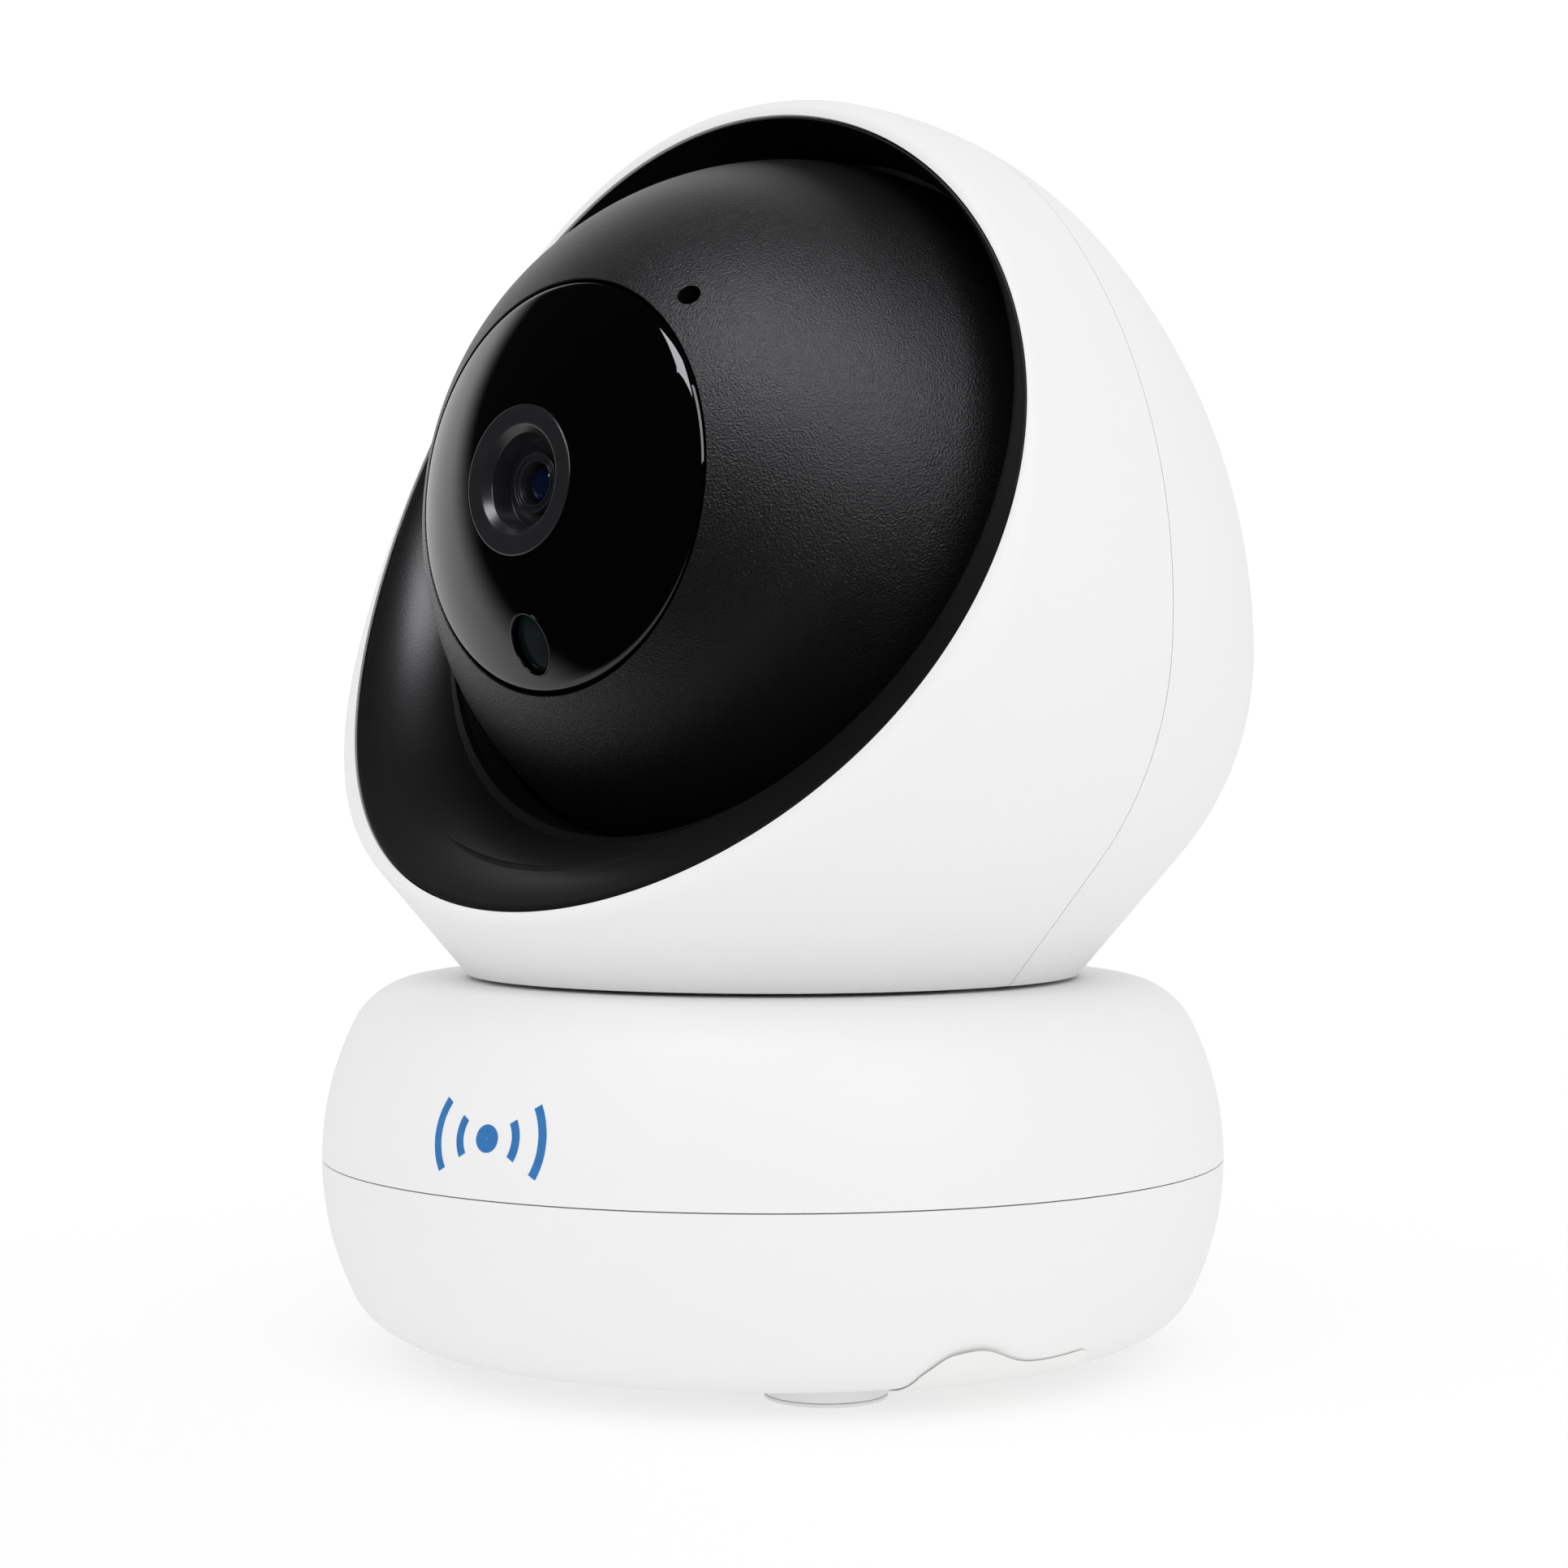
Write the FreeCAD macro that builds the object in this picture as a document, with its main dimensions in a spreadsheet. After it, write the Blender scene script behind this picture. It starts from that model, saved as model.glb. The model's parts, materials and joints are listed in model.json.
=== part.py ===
import FreeCAD, Part
import math
import os

import Sketcher
from FreeCAD import Placement, Rotation, Vector

# Baby monitor camera: a round base, an egg-shaped head that pans on it, and an eyeball that tilts
# in the head. The origin is on the table under the middle of the base, +Z is up, and the head
# faces -Y. The head and the base are turned a little from each other, as base_turn says.
# All lengths are millimetres and all angles are degrees.

SIZES = {
    # base
    "seam_height": 19.5,
    "base_radius": 45.0,
    "base_edge": 10.0,
    "base_rise": 17.6,
    "base_drop": 17.4,
    "base_side_arc": 30.0,
    "base_turn": 10.0,
    "wall": 2.2,
    "seam_gap": 0.12,
    "hub_hole": 18.3,
    "hub_boss": 23.0,
    "foot_place": 27.0,
    "foot_radius": 5.4,
    "foot_pad_height": 1.0,
    "post_radius": 2.8,
    "screw_radius": 1.0,
    "motor_side": 24.8,
    # pan drive
    "hub_radius": 16.0,
    "hub_bore": 12.5,
    "running_gap": 0.06,
    "pan_module": 0.8,
    "pan_gear_teeth": 50.0,
    "pan_pinion_teeth": 12.0,
    "pan_gear_floor": 22.0,
    "pan_gear_width": 4.0,
    # head
    "head_floor": 37.5,
    "head_radius": 47.9,
    "head_middle": 69.2,
    "head_shoulder_arc": 62.5,
    "head_shoulder_turn": 39.6,
    "head_crown_arc": 42.0,
    "head_lower_arc": 30.8,
    "head_lower_turn": 40.0,
    "head_seam_place": 0.5,
    "head_seam_lean": 0.082,
    # opening in the front of the head, seen square on
    "rim_back": -14.2,
    "rim_height": 81.3,
    "rim_lean": 22.2,
    "rim_bend_radius": 145.4,
    "dish_lean": 20.0,
    "dish_hole": 36.0,
    "dish_hole_depth": 9.6,
    "dish_skin": 1.8,
    "dish_mouth_depth": 24.0,
    "dish_mouth_across": 52.95,
    "dish_mouth_tall": 42.55,
    "dish_mouth_low": -8.35,
    # eyeball
    "eye_back": 2.1,
    "eye_height": 82.1,
    "eye_radius": 36.7,
    "eye_wall": 1.8,
    "eye_split": -6.0,
    "lens_rise": 4.4,
    "cover_radius": 19.5,
    "cover_skin": 1.5,
    "pivot_radius": 2.5,
    "tilt_module": 0.5,
    "tilt_gear_teeth": 40.0,
    "tilt_pinion_teeth": 12.0,
    "tilt_gear_side": -29.5,
    "tilt_gear_width": 3.0,
    "window_fall": 24.4,
    "mic_polar": 37.6,
    "mic_clock": 40.0,
}

PLANES = {"XY": "XY_Plane", "XZ": "XZ_Plane", "YZ": "YZ_Plane"}
UP = Vector(0, 0, 1)
ALONG_X = Vector(1, 0, 0)
LONG = 200.0

doc = FreeCAD.newDocument("BabyMonitorCamera")
nodes = []


# ---------------------------------------------------------------- sizes and expressions

class Size:
    """A number together with the expression that gives it from the sheet."""

    def __init__(self, number, text=None):
        self.number = float(number)
        self.text = text or "(%r)" % float(number)

    def __add__(self, other):
        other = size(other)
        return Size(self.number + other.number, "(%s + %s)" % (self.text, other.text))

    def __sub__(self, other):
        other = size(other)
        return Size(self.number - other.number, "(%s - %s)" % (self.text, other.text))

    def __mul__(self, other):
        other = size(other)
        return Size(self.number * other.number, "(%s * %s)" % (self.text, other.text))

    def __truediv__(self, other):
        other = size(other)
        return Size(self.number / other.number, "(%s / %s)" % (self.text, other.text))

    def __radd__(self, other):
        return size(other) + self

    def __rsub__(self, other):
        return size(other) - self

    def __rmul__(self, other):
        return size(other) * self

    def __rtruediv__(self, other):
        return size(other) / self

    def __neg__(self):
        return size(0) - self


def size(value):
    return value if isinstance(value, Size) else Size(value)


def sine(angle):
    angle = size(angle)
    return Size(math.sin(math.radians(angle.number)), "sin(%s)" % angle.text)


def cosine(angle):
    angle = size(angle)
    return Size(math.cos(math.radians(angle.number)), "cos(%s)" % angle.text)


def root(value):
    return Size(math.sqrt(value.number), "sqrt(%s)" % value.text)


def make_sheet():
    """Puts every driving dimension in a cell with an alias."""
    sheet = doc.addObject("Spreadsheet::Sheet", "Sizes")
    for row, (name, number) in enumerate(SIZES.items(), start=1):
        sheet.set("A%d" % row, name)
        sheet.set("B%d" % row, str(number))
        sheet.setAlias("B%d" % row, name)
    doc.recompute()
    return {name: Size(sheet.get(name), "Sizes.%s" % name) for name in SIZES}


S = make_sheet()

# Places inside the base: the pan motor on its floor, the board on its posts and the reset button.
MOTOR_FOOT = size(5.0)
MOTOR_HEIGHT = size(13.0)
BOARD_FOOT = size(8.5)
BOARD_TOP = size(10.1)
BOARD_POSTS = [(-11.0, 12.0), (11.0, 12.0), (0.0, 28.0)]
MOTOR_EARS = [(-S["motor_side"], 15.0), (-S["motor_side"], -15.0)]
RESET_SIDE = size(13.5)
RESET_HEIGHT = size(13.0)

# Screws round the turntable by angle, and the turntable's own thickness.
HUB_SCREWS = (90, 210, 330)
HUB_SCREW_PLACE = size(14.2)
SHELL_SCREWS = (60, 120, 240, 300)
SHELL_SCREW_PLACE = size(23.6)
TABLE_LOW = S["head_floor"] + 0.1
TABLE_TOP = TABLE_LOW + 2.4

# Places inside the head and the eyeball, and the distance between the tilt gear and its pinion.
SPEAKER_HEIGHT = size(50.0)
BOARD_FEET = (50, 130, 230, 310)
YOKE_WIDTH = size(12.0)
TILT_MOTOR_SIDE = size(-10.0)
TILT_REACH = S["tilt_module"] * (S["tilt_gear_teeth"] + S["tilt_pinion_teeth"]) / 2


def bind(thing, name, value):
    thing.setExpression(name, size(value).text)


def place(thing, x=0, y=0, z=0, axis=UP, angle=0):
    """Puts a thing at a place and turns it about an axis through that place."""
    if size(angle).number < 0:
        axis, angle = -axis, -size(angle)
    thing.Placement = Placement(Vector(0, 0, 0), Rotation(axis, size(angle).number))
    for letter, value in zip("xyz", (x, y, z)):
        bind(thing, "Placement.Base.%s" % letter, value)
    if size(angle).number:
        bind(thing, "Placement.Rotation.Angle", angle)
    return thing


def keep(thing, name):
    """Names a finished sub-part."""
    thing.Label = name
    nodes.append(thing)
    return thing


# ---------------------------------------------------------------- sketches and bodies

def new_body():
    return doc.addObject("PartDesign::Body", "Body")


def new_sketch(body, plane, offset=0):
    """A sketch on one of the body's own origin planes, or on a copy of it further out."""
    sketch = body.newObject("Sketcher::SketchObject", "Sketch")
    support = next(item for item in body.Origin.OriginFeatures if item.Role == PLANES[plane])
    sketch.AttachmentSupport = [(support, "")]
    sketch.MapMode = "FlatFace"
    bind(sketch, "AttachmentOffset.Base.z", offset)
    return sketch


def fix(sketch, kind, value, *where):
    index = sketch.addConstraint(Sketcher.Constraint(kind, *where, size(value).number))
    sketch.setExpression("Constraints[%d]" % index, size(value).text)


def arc_between(start, end, radius, side):
    """The short arc from start to end with its centre on the left (side 1) or right (side -1)."""
    chord = end - start
    left = Vector(-chord.y, chord.x, 0).normalize()
    rise = math.sqrt(radius ** 2 - chord.Length ** 2 / 4)
    centre = (start + end) / 2 + left * side * rise
    first, last = (start, end) if side > 0 else (end, start)
    angles = [math.atan2(point.y - centre.y, point.x - centre.x) for point in (first, last)]
    if angles[1] < angles[0]:
        angles[1] += 2 * math.pi
    return Part.ArcOfCircle(Part.Circle(centre, UP, radius), *angles)


def draw_outline(sketch, corners):
    """A closed outline. A corner is (x, y), or (x, y, radius, side) where an arc leaves it."""
    edges = []
    for here, there in zip(corners, corners[1:] + corners[:1]):
        start, end = (Vector(size(c[0]).number, size(c[1]).number, 0) for c in (here, there))
        if len(here) == 2:
            edges.append((sketch.addGeometry(Part.LineSegment(start, end)), 1, 2))
            continue
        radius, side = here[2:]
        index = sketch.addGeometry(arc_between(start, end, size(radius).number, side))
        edges.append((index, 1, 2) if side > 0 else (index, 2, 1))
        fix(sketch, "Radius", radius, index)
    for (edge, _, last), (following, first, _) in zip(edges, edges[1:] + edges[:1]):
        sketch.addConstraint(Sketcher.Constraint("Coincident", edge, last, following, first))
    for (edge, first, _), corner in zip(edges, corners):
        fix(sketch, "DistanceX", corner[0], -1, 1, edge, first)
        fix(sketch, "DistanceY", corner[1], -1, 1, edge, first)


def draw_circle(sketch, x, y, radius):
    centre = Vector(size(x).number, size(y).number, 0)
    index = sketch.addGeometry(Part.Circle(centre, UP, size(radius).number))
    fix(sketch, "DistanceX", x, -1, 1, index, 3)
    fix(sketch, "DistanceY", y, -1, 1, index, 3)
    fix(sketch, "Radius", radius, index)


def draw_box(sketch, x, y, length, width):
    """A rectangle about its middle."""
    left, right = x - size(length) / 2, x + size(length) / 2
    low, high = y - size(width) / 2, y + size(width) / 2
    draw_outline(sketch, [(left, low), (right, low), (right, high), (left, high)])


def revolve(body, corners):
    """Turns an outline of (distance from the axis, height) right round the body's Z axis."""
    sketch = new_sketch(body, "XZ")
    draw_outline(sketch, corners)
    feature = body.newObject("PartDesign::Revolution", "Revolution")
    feature.Profile = sketch
    feature.ReferenceAxis = (sketch, ["V_Axis"])
    feature.Angle = 360
    return body


def pad(body, sketch, length, symmetric=False):
    feature = body.newObject("PartDesign::Pad", "Pad")
    feature.Profile = sketch
    bind(feature, "Length", length)
    if symmetric:
        feature.SideType = "Symmetric"
    return feature


def pocket(body, sketch, length=LONG, symmetric=False, reverse=False):
    """Cuts a sketch out of the body, and makes sure that it took something away."""
    doc.recompute()
    before = body.Shape.Volume
    feature = body.newObject("PartDesign::Pocket", "Pocket")
    feature.Profile = sketch
    bind(feature, "Length", length)
    feature.Reversed = reverse
    if symmetric:
        feature.SideType = "Symmetric"
    doc.recompute()
    if before - body.Shape.Volume < 0.01:
        raise RuntimeError("a pocket in %s cuts nothing" % body.Name)
    return feature


def around(body, feature, count):
    """Repeats a feature evenly round the body's Z axis."""
    doc.recompute()
    pattern = body.newObject("PartDesign::PolarPattern", "PolarPattern")
    pattern.Originals = [feature]
    axis = next(item for item in body.Origin.OriginFeatures if item.Role == "Z_Axis")
    pattern.Axis = (axis, [""])
    pattern.Angle = 360
    pattern.Occurrences = count
    body.Tip = pattern
    return pattern


def disc(body, radius, low, high, bore=0):
    """A flat round plate from one height to another, with or without a hole."""
    sketch = new_sketch(body, "XY", low)
    draw_circle(sketch, 0, 0, radius)
    if size(bore).number:
        draw_circle(sketch, 0, 0, bore)
    return pad(body, sketch, size(high) - low)


# ---------------------------------------------------------------- plain solids and booleans

def cylinder(radius, height, x=0, y=0, z=0, axis=UP, angle=0):
    solid = doc.addObject("Part::Cylinder", "Cylinder")
    bind(solid, "Radius", radius)
    bind(solid, "Height", height)
    return place(solid, x, y, z, axis, angle)


def box(length, width, height, x=0, y=0, z=0):
    """A block whose base is centred on x and y."""
    solid = doc.addObject("Part::Box", "Box")
    bind(solid, "Length", length)
    bind(solid, "Width", width)
    bind(solid, "Height", height)
    return place(solid, x - size(length) / 2, y - size(width) / 2, z)


def cut(base, tool):
    solid = doc.addObject("Part::Cut", "Cut")
    solid.Base = base
    solid.Tool = tool
    return solid


def fuse(*shapes):
    solid = doc.addObject("Part::MultiFuse", "Fusion")
    solid.Shapes = list(shapes)
    return solid


def group(solids):
    """Several separate solids that share one name, such as a set of screws."""
    whole = doc.addObject("Part::Compound", "Compound")
    whole.Links = solids
    return whole


def screw(x, y, z, head_radius, head_height, shank_radius, shank_length, axis=UP, angle=0):
    """A pan-head screw with its head at the bottom, pointing up its own axis."""
    head = cylinder(head_radius, head_height)
    shank = cylinder(shank_radius, size(head_height) + shank_length)
    drive = box(head_radius, 0.5, 0.5)
    return place(cut(fuse(head, shank), drive), x, y, z, axis, angle)


def turned(distance, angle):
    """The x and y of a place at a distance from the Z axis, its angle counted from +X."""
    return size(distance) * cosine(angle), size(distance) * sine(angle)


def in_base(thing):
    """Turns a base part to the base's own front, which the head looks a little away from."""
    return place(thing, angle=S["base_turn"])


def in_eye(thing):
    """Puts an eyeball part, whose own +Z is the lens axis and whose +Y is up, in the head."""
    return place(thing, 0, S["eye_back"], S["eye_height"], ALONG_X, 90 - S["lens_rise"])


# ---------------------------------------------------------------- gears

def gear(module, teeth, low, width, bore, phase=0):
    """A spur gear with straight-flanked teeth that are thin enough to run with play."""
    pitch = module * teeth / 2
    foot = pitch - module * 1.2
    tip = pitch + module * 0.85
    half_root = module * 0.86
    half_tip = module * 0.30
    body = new_body()
    sketch = new_sketch(body, "XY", low)
    draw_circle(sketch, 0, 0, foot)
    draw_circle(sketch, 0, 0, bore)
    pad(body, sketch, width)
    sketch = new_sketch(body, "XY", low)
    sunk = foot - module * 0.25
    draw_outline(sketch, [(sunk, -half_root), (foot, -half_root), (tip, -half_tip),
                          (tip, half_tip), (foot, half_root), (sunk, half_root)])
    around(body, pad(body, sketch, width), int(teeth.number))
    return place(body, angle=phase) if phase else body


# ---------------------------------------------------------------- base

def base_profile(inset, upward):
    """The arcs of the base's rounded edge above or below the seam, from the seam inwards.

    The edge is a large side arc and a small corner arc that meet smoothly. Both keep their
    centres when the outline is inset by the thickness of the wall.
    """
    tall = S["base_rise"] if upward else S["base_drop"]
    side = S["base_side_arc"]
    edge = S["base_edge"]
    corner = (2 * edge * side - edge * edge - tall * tall) / (2 * side - 2 * tall)
    sign = 1 if upward else -1
    seam = S["seam_height"] + S["seam_gap"] / 2 * sign
    across = (side - edge) / (side - corner)
    along = (tall - corner) / (side - corner)
    middle = S["base_radius"] - side
    skip = S["seam_gap"] / 2
    start = middle + root((side - inset) * (side - inset) - skip * skip)
    joint = (middle + (side - inset) * across, S["seam_height"] + (side - inset) * along * sign)
    end = (S["base_radius"] - edge, S["seam_height"] + (tall - inset) * sign)
    return [(start, seam, side - inset, sign), (*joint, corner - inset, sign), end]


def base_upper_shell():
    """Top half of the base: a domed ring with a bearing seat in the middle."""
    outer = base_profile(size(0), True)
    inner = base_profile(S["wall"], True)
    top = outer[-1][1]
    roof = inner[-1][1]
    back = [(*inner[2], inner[1][2], -1), (*inner[1][:2], inner[0][2], -1), inner[0][:2]]
    seat = top - 1.5
    boss_foot = S["pan_gear_floor"] + S["pan_gear_width"] + 1.1
    corners = outer + [(22.0, top), (22.0, seat), (S["hub_hole"], seat),
                       (S["hub_hole"], boss_foot), (S["hub_boss"], boss_foot),
                       (S["hub_boss"], roof)] + back
    body = revolve(new_body(), corners)
    floor = S["seam_height"] + 0.6
    for post_angle in (45, 135, 225, 315):
        sketch = new_sketch(body, "XY", floor)
        draw_circle(sketch, *turned(S["foot_place"], post_angle), S["post_radius"])
        pad(body, sketch, roof - floor + 0.5)
    sketch = new_sketch(body, "XY", floor)
    for post_angle in (45, 135, 225, 315):
        draw_circle(sketch, *turned(S["foot_place"], post_angle), S["screw_radius"])
    pocket(body, sketch, 9.0, reverse=True)
    return keep(in_base(body), "base_upper_shell")


def base_lower_shell():
    """Bottom half of the base, with foot studs, screw posts, and the socket openings."""
    outer = base_profile(size(0), False)
    inner = base_profile(S["wall"], False)
    bottom = outer[-1][1]
    floor = inner[-1][1]
    back = [(*inner[2], inner[1][2], 1), (*inner[1][:2], inner[0][2], 1), inner[0][:2]]
    body = revolve(new_body(), outer + [(0, bottom), (0, floor)] + back)
    places = [turned(S["foot_place"], angle) for angle in (45, 135, 225, 315)]
    for foot in places:
        sketch = new_sketch(body, "XY", S["foot_pad_height"])
        draw_circle(sketch, *foot, S["foot_radius"])
        pad(body, sketch, floor - S["foot_pad_height"])
        sketch = new_sketch(body, "XY", floor)
        draw_circle(sketch, *foot, S["post_radius"])
        pad(body, sketch, S["seam_height"] + 0.4 - floor)
    for post in MOTOR_EARS:
        sketch = new_sketch(body, "XY", floor - 0.3)
        draw_circle(sketch, *post, 2.6)
        pad(body, sketch, MOTOR_FOOT + MOTOR_HEIGHT - 1.0 - floor + 0.3)
    for post in BOARD_POSTS:
        sketch = new_sketch(body, "XY", floor - 0.3)
        draw_circle(sketch, *post, 2.2)
        pad(body, sketch, BOARD_FOOT - floor + 0.3)
    sketch = new_sketch(body, "XY", floor + 0.8)
    for post in MOTOR_EARS + BOARD_POSTS:
        draw_circle(sketch, *post, 0.9)
    pocket(body, sketch, 30, reverse=True)
    sketch = new_sketch(body, "XY", S["foot_pad_height"])
    for foot in places:
        draw_circle(sketch, *foot, 2.3)
    pocket(body, sketch, 2.6, reverse=True)
    sketch = new_sketch(body, "XY", 0)
    for foot in places:
        draw_circle(sketch, *foot, 1.3)
    pocket(body, sketch, 60, reverse=True)
    sketch = new_sketch(body, "XZ", -50)
    draw_box(sketch, 0, BOARD_TOP + 1.5, 11.0, 7.0)
    pocket(body, sketch, 12.0, reverse=True)
    sketch = new_sketch(body, "XZ", -50)
    draw_box(sketch, -11.0, BOARD_TOP + 0.8, 12.4, 1.8)
    draw_circle(sketch, RESET_SIDE, RESET_HEIGHT, 1.43)
    pocket(body, sketch, 22.0, reverse=True)
    return keep(in_base(body), "base_lower_shell")


def foot_pads():
    """Four round pads that the camera stands on."""
    for number, angle in enumerate((45, 135, 225, 315), start=1):
        pad_solid = cylinder(S["foot_radius"], S["foot_pad_height"])
        x, y = turned(S["foot_place"], S["base_turn"] + angle)
        keep(place(pad_solid, x, y, 0), "foot_pad_%d" % number)


def base_screws():
    """One screw up through each foot into the upper shell."""
    screws = []
    for angle in (45, 135, 225, 315):
        x, y = turned(S["foot_place"], S["base_turn"] + angle)
        screws.append(screw(x, y, 2.2, 2.1, 1.35, 0.95, S["seam_height"] + 4))
    keep(group(screws), "base_screws")


def ballast_plate():
    """A curved steel weight on the floor of the base that keeps it from tipping."""
    plate = doc.addObject("Part::Cylinder", "Cylinder")
    bind(plate, "Radius", 22.5)
    bind(plate, "Height", 6.0)
    plate.Angle = 125
    place(plate, z=4.35, angle=S["base_turn"] + 240)
    hole = cylinder(9.0, 10, z=3.0)
    keep(cut(plate, hole), "ballast_plate")


def base_board():
    """The circuit board that carries the power socket, the card socket and the reset switch."""
    body = new_body()
    sketch = new_sketch(body, "XY", BOARD_FOOT)
    draw_outline(sketch, [(-14.0, 8.0), (14.0, 8.0), (14.0, 23.2), (18.0, 23.2), (18.0, 32.0),
                          (14.0, 36.0), (-14.0, 36.0), (-18.0, 32.0), (-18.0, 23.2),
                          (-14.0, 23.2)])
    pad(body, sketch, BOARD_TOP - BOARD_FOOT)
    sketch = new_sketch(body, "XY", BOARD_FOOT)
    for post in BOARD_POSTS:
        draw_circle(sketch, *post, 1.1)
    pocket(body, sketch, 5, reverse=True)
    keep(in_base(body), "base_board")
    screws = []
    for x, y in BOARD_POSTS:
        one = screw(0, 0, 0, 1.9, 1.2, 0.9, 4.0, ALONG_X, 180)
        screws.append(place(group([one]), x, y, BOARD_TOP + 1.2))
    keep(in_base(group(screws)), "board_screws")


def power_socket():
    """A metal power socket whose mouth faces the back of the base."""
    body = new_body()
    sketch = new_sketch(body, "XZ", -39.0)
    draw_outline(sketch, [(-2.9, BOARD_TOP), (2.9, BOARD_TOP), (3.75, BOARD_TOP + 1.0),
                          (3.75, BOARD_TOP + 2.8), (-3.75, BOARD_TOP + 2.8),
                          (-3.75, BOARD_TOP + 1.0)])
    pad(body, sketch, 5.6)
    sketch = new_sketch(body, "XZ", -39.0)
    draw_outline(sketch, [(-2.7, BOARD_TOP + 0.3), (2.7, BOARD_TOP + 0.3),
                          (3.45, BOARD_TOP + 1.15), (3.45, BOARD_TOP + 2.5),
                          (-3.45, BOARD_TOP + 2.5), (-3.45, BOARD_TOP + 1.15)])
    pocket(body, sketch, 4.8, reverse=True)
    keep(in_base(body), "power_socket")
    tongue = box(4.4, 4.4, 0.6, 0, 36.4, BOARD_TOP + 1.2)
    keep(in_base(group([tongue])), "socket_tongue")


def card_socket():
    """A flat metal holder for a memory card."""
    can = box(12.6, 14.0, 1.7, -11.0, 30.4, BOARD_TOP)
    slot = box(11.4, 12.5, 0.9, -11.0, 31.9, BOARD_TOP + 0.4)
    keep(in_base(cut(can, slot)), "card_socket")


def reset_parts():
    """A push switch on the board and the small button that reaches it from outside."""
    switch = fuse(box(6.0, 3.6, 4.3, RESET_SIDE, 31.0, BOARD_TOP),
                  cylinder(1.0, 2.3, RESET_SIDE, 32.6, RESET_HEIGHT, ALONG_X, -90))
    keep(in_base(switch), "reset_switch")
    stem = cylinder(1.35, 6.6, RESET_SIDE, 35.5, RESET_HEIGHT, ALONG_X, -90)
    collar = cylinder(2.2, 0.8, RESET_SIDE, 37.5, RESET_HEIGHT, ALONG_X, -90)
    keep(in_base(fuse(stem, collar)), "reset_button")


def rating_label():
    """A thin paper label under the base."""
    body = new_body()
    sketch = new_sketch(body, "XY", S["seam_height"] - S["base_drop"] - 0.12)
    draw_outline(sketch, [(-16.0, -14.0), (16.0, -14.0), (16.0, 14.0), (-16.0, 14.0)])
    pad(body, sketch, 0.12)
    return keep(in_base(body), "rating_label")


# ---------------------------------------------------------------- pan drive

def can_motor(radius, height, shaft_radius, shaft_height, ear_side, ear_radius, ear_bore):
    """A geared motor: a round can with two ears at its top and a shaft, standing on its back."""
    can = cylinder(radius, height)
    ear_height = size(height) - 1.0
    strap = box(2 * ear_radius, 2 * ear_side, 1.0, 0, 0, ear_height)
    ends = [cylinder(ear_radius, 1.0, 0, ear_side * side, ear_height) for side in (-1, 1)]
    shaft = cylinder(shaft_radius, size(height) + shaft_height)
    whole = fuse(can, strap, *ends, shaft)
    for side in (-1, 1):
        whole = cut(whole, cylinder(ear_bore, 4.0, 0, ear_side * side, ear_height - 1.5))
    return whole


def pan_motor():
    """The motor that turns the head, beside the hub."""
    motor = can_motor(12.0, MOTOR_HEIGHT, 1.5, 9.0, 15.0, 3.0, 1.1)
    keep(in_base(group([place(motor, -S["motor_side"], 0, MOTOR_FOOT)])), "pan_motor")
    screws = []
    for side in (-1, 1):
        one = screw(0, 0, 0, 1.9, 1.2, 0.9, 5.0, ALONG_X, 180)
        screws.append(place(group([one]), -S["motor_side"], 15.0 * side,
                            MOTOR_FOOT + MOTOR_HEIGHT + 1.2))
    keep(in_base(group(screws)), "pan_motor_screws")


def pan_gears():
    """The gear on the hub and the pinion on the motor, which meet on the motor's side."""
    half_tooth = 180 / S["pan_gear_teeth"]
    motor_angle = S["base_turn"] + 180
    wheel = gear(S["pan_module"], S["pan_gear_teeth"], S["pan_gear_floor"], S["pan_gear_width"],
                 S["hub_bore"], motor_angle + half_tooth)
    bores = []
    for angle in HUB_SCREWS:
        bores.append(cylinder(1.1, 10, *turned(HUB_SCREW_PLACE, angle), S["pan_gear_floor"] - 2))
    keep(cut(wheel, fuse(*bores)), "pan_gear")
    pinion = gear(S["pan_module"], S["pan_pinion_teeth"], S["pan_gear_floor"] - 0.3,
                  S["pan_gear_width"] + 0.6, 1.58, motor_angle)
    x, y = turned(S["motor_side"], motor_angle)
    keep(place(pinion, x, y, 0, UP, motor_angle), "pan_pinion")


def turntable():
    """The floor of the head and the tube that turns in the base."""
    gear_top = S["pan_gear_floor"] + S["pan_gear_width"]
    body = revolve(new_body(), [(S["hub_bore"], gear_top), (S["hub_radius"], gear_top),
                                (S["hub_radius"], TABLE_LOW), (26.8, TABLE_LOW),
                                (26.8, TABLE_TOP), (S["hub_bore"], TABLE_TOP)])
    sketch = new_sketch(body, "XY", gear_top)
    for angle in HUB_SCREWS:
        draw_circle(sketch, *turned(HUB_SCREW_PLACE, angle), 0.9)
    pocket(body, sketch, 6.0, reverse=True)
    sketch = new_sketch(body, "XY", TABLE_LOW)
    for angle in SHELL_SCREWS:
        draw_circle(sketch, *turned(SHELL_SCREW_PLACE, angle), 1.15)
    pocket(body, sketch, 6.0, reverse=True)
    sketch = new_sketch(body, "XY", TABLE_LOW)
    for angle in SHELL_SCREWS:
        draw_circle(sketch, *turned(SHELL_SCREW_PLACE, angle), 2.1)
    pocket(body, sketch, 1.3, reverse=True)
    return keep(body, "turntable")


def pan_bearing():
    """The flanged bush that the hub turns in."""
    top = S["seam_height"] + S["base_rise"]
    seat = top - 1.5
    bore = S["hub_radius"] + S["running_gap"]
    foot = S["pan_gear_floor"] + S["pan_gear_width"] + 1.1
    body = revolve(new_body(), [(bore, foot), (S["hub_hole"], foot), (S["hub_hole"], seat),
                                (21.8, seat), (21.8, TABLE_LOW - S["running_gap"]),
                                (bore, TABLE_LOW - S["running_gap"])])
    return keep(body, "pan_bearing")


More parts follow.
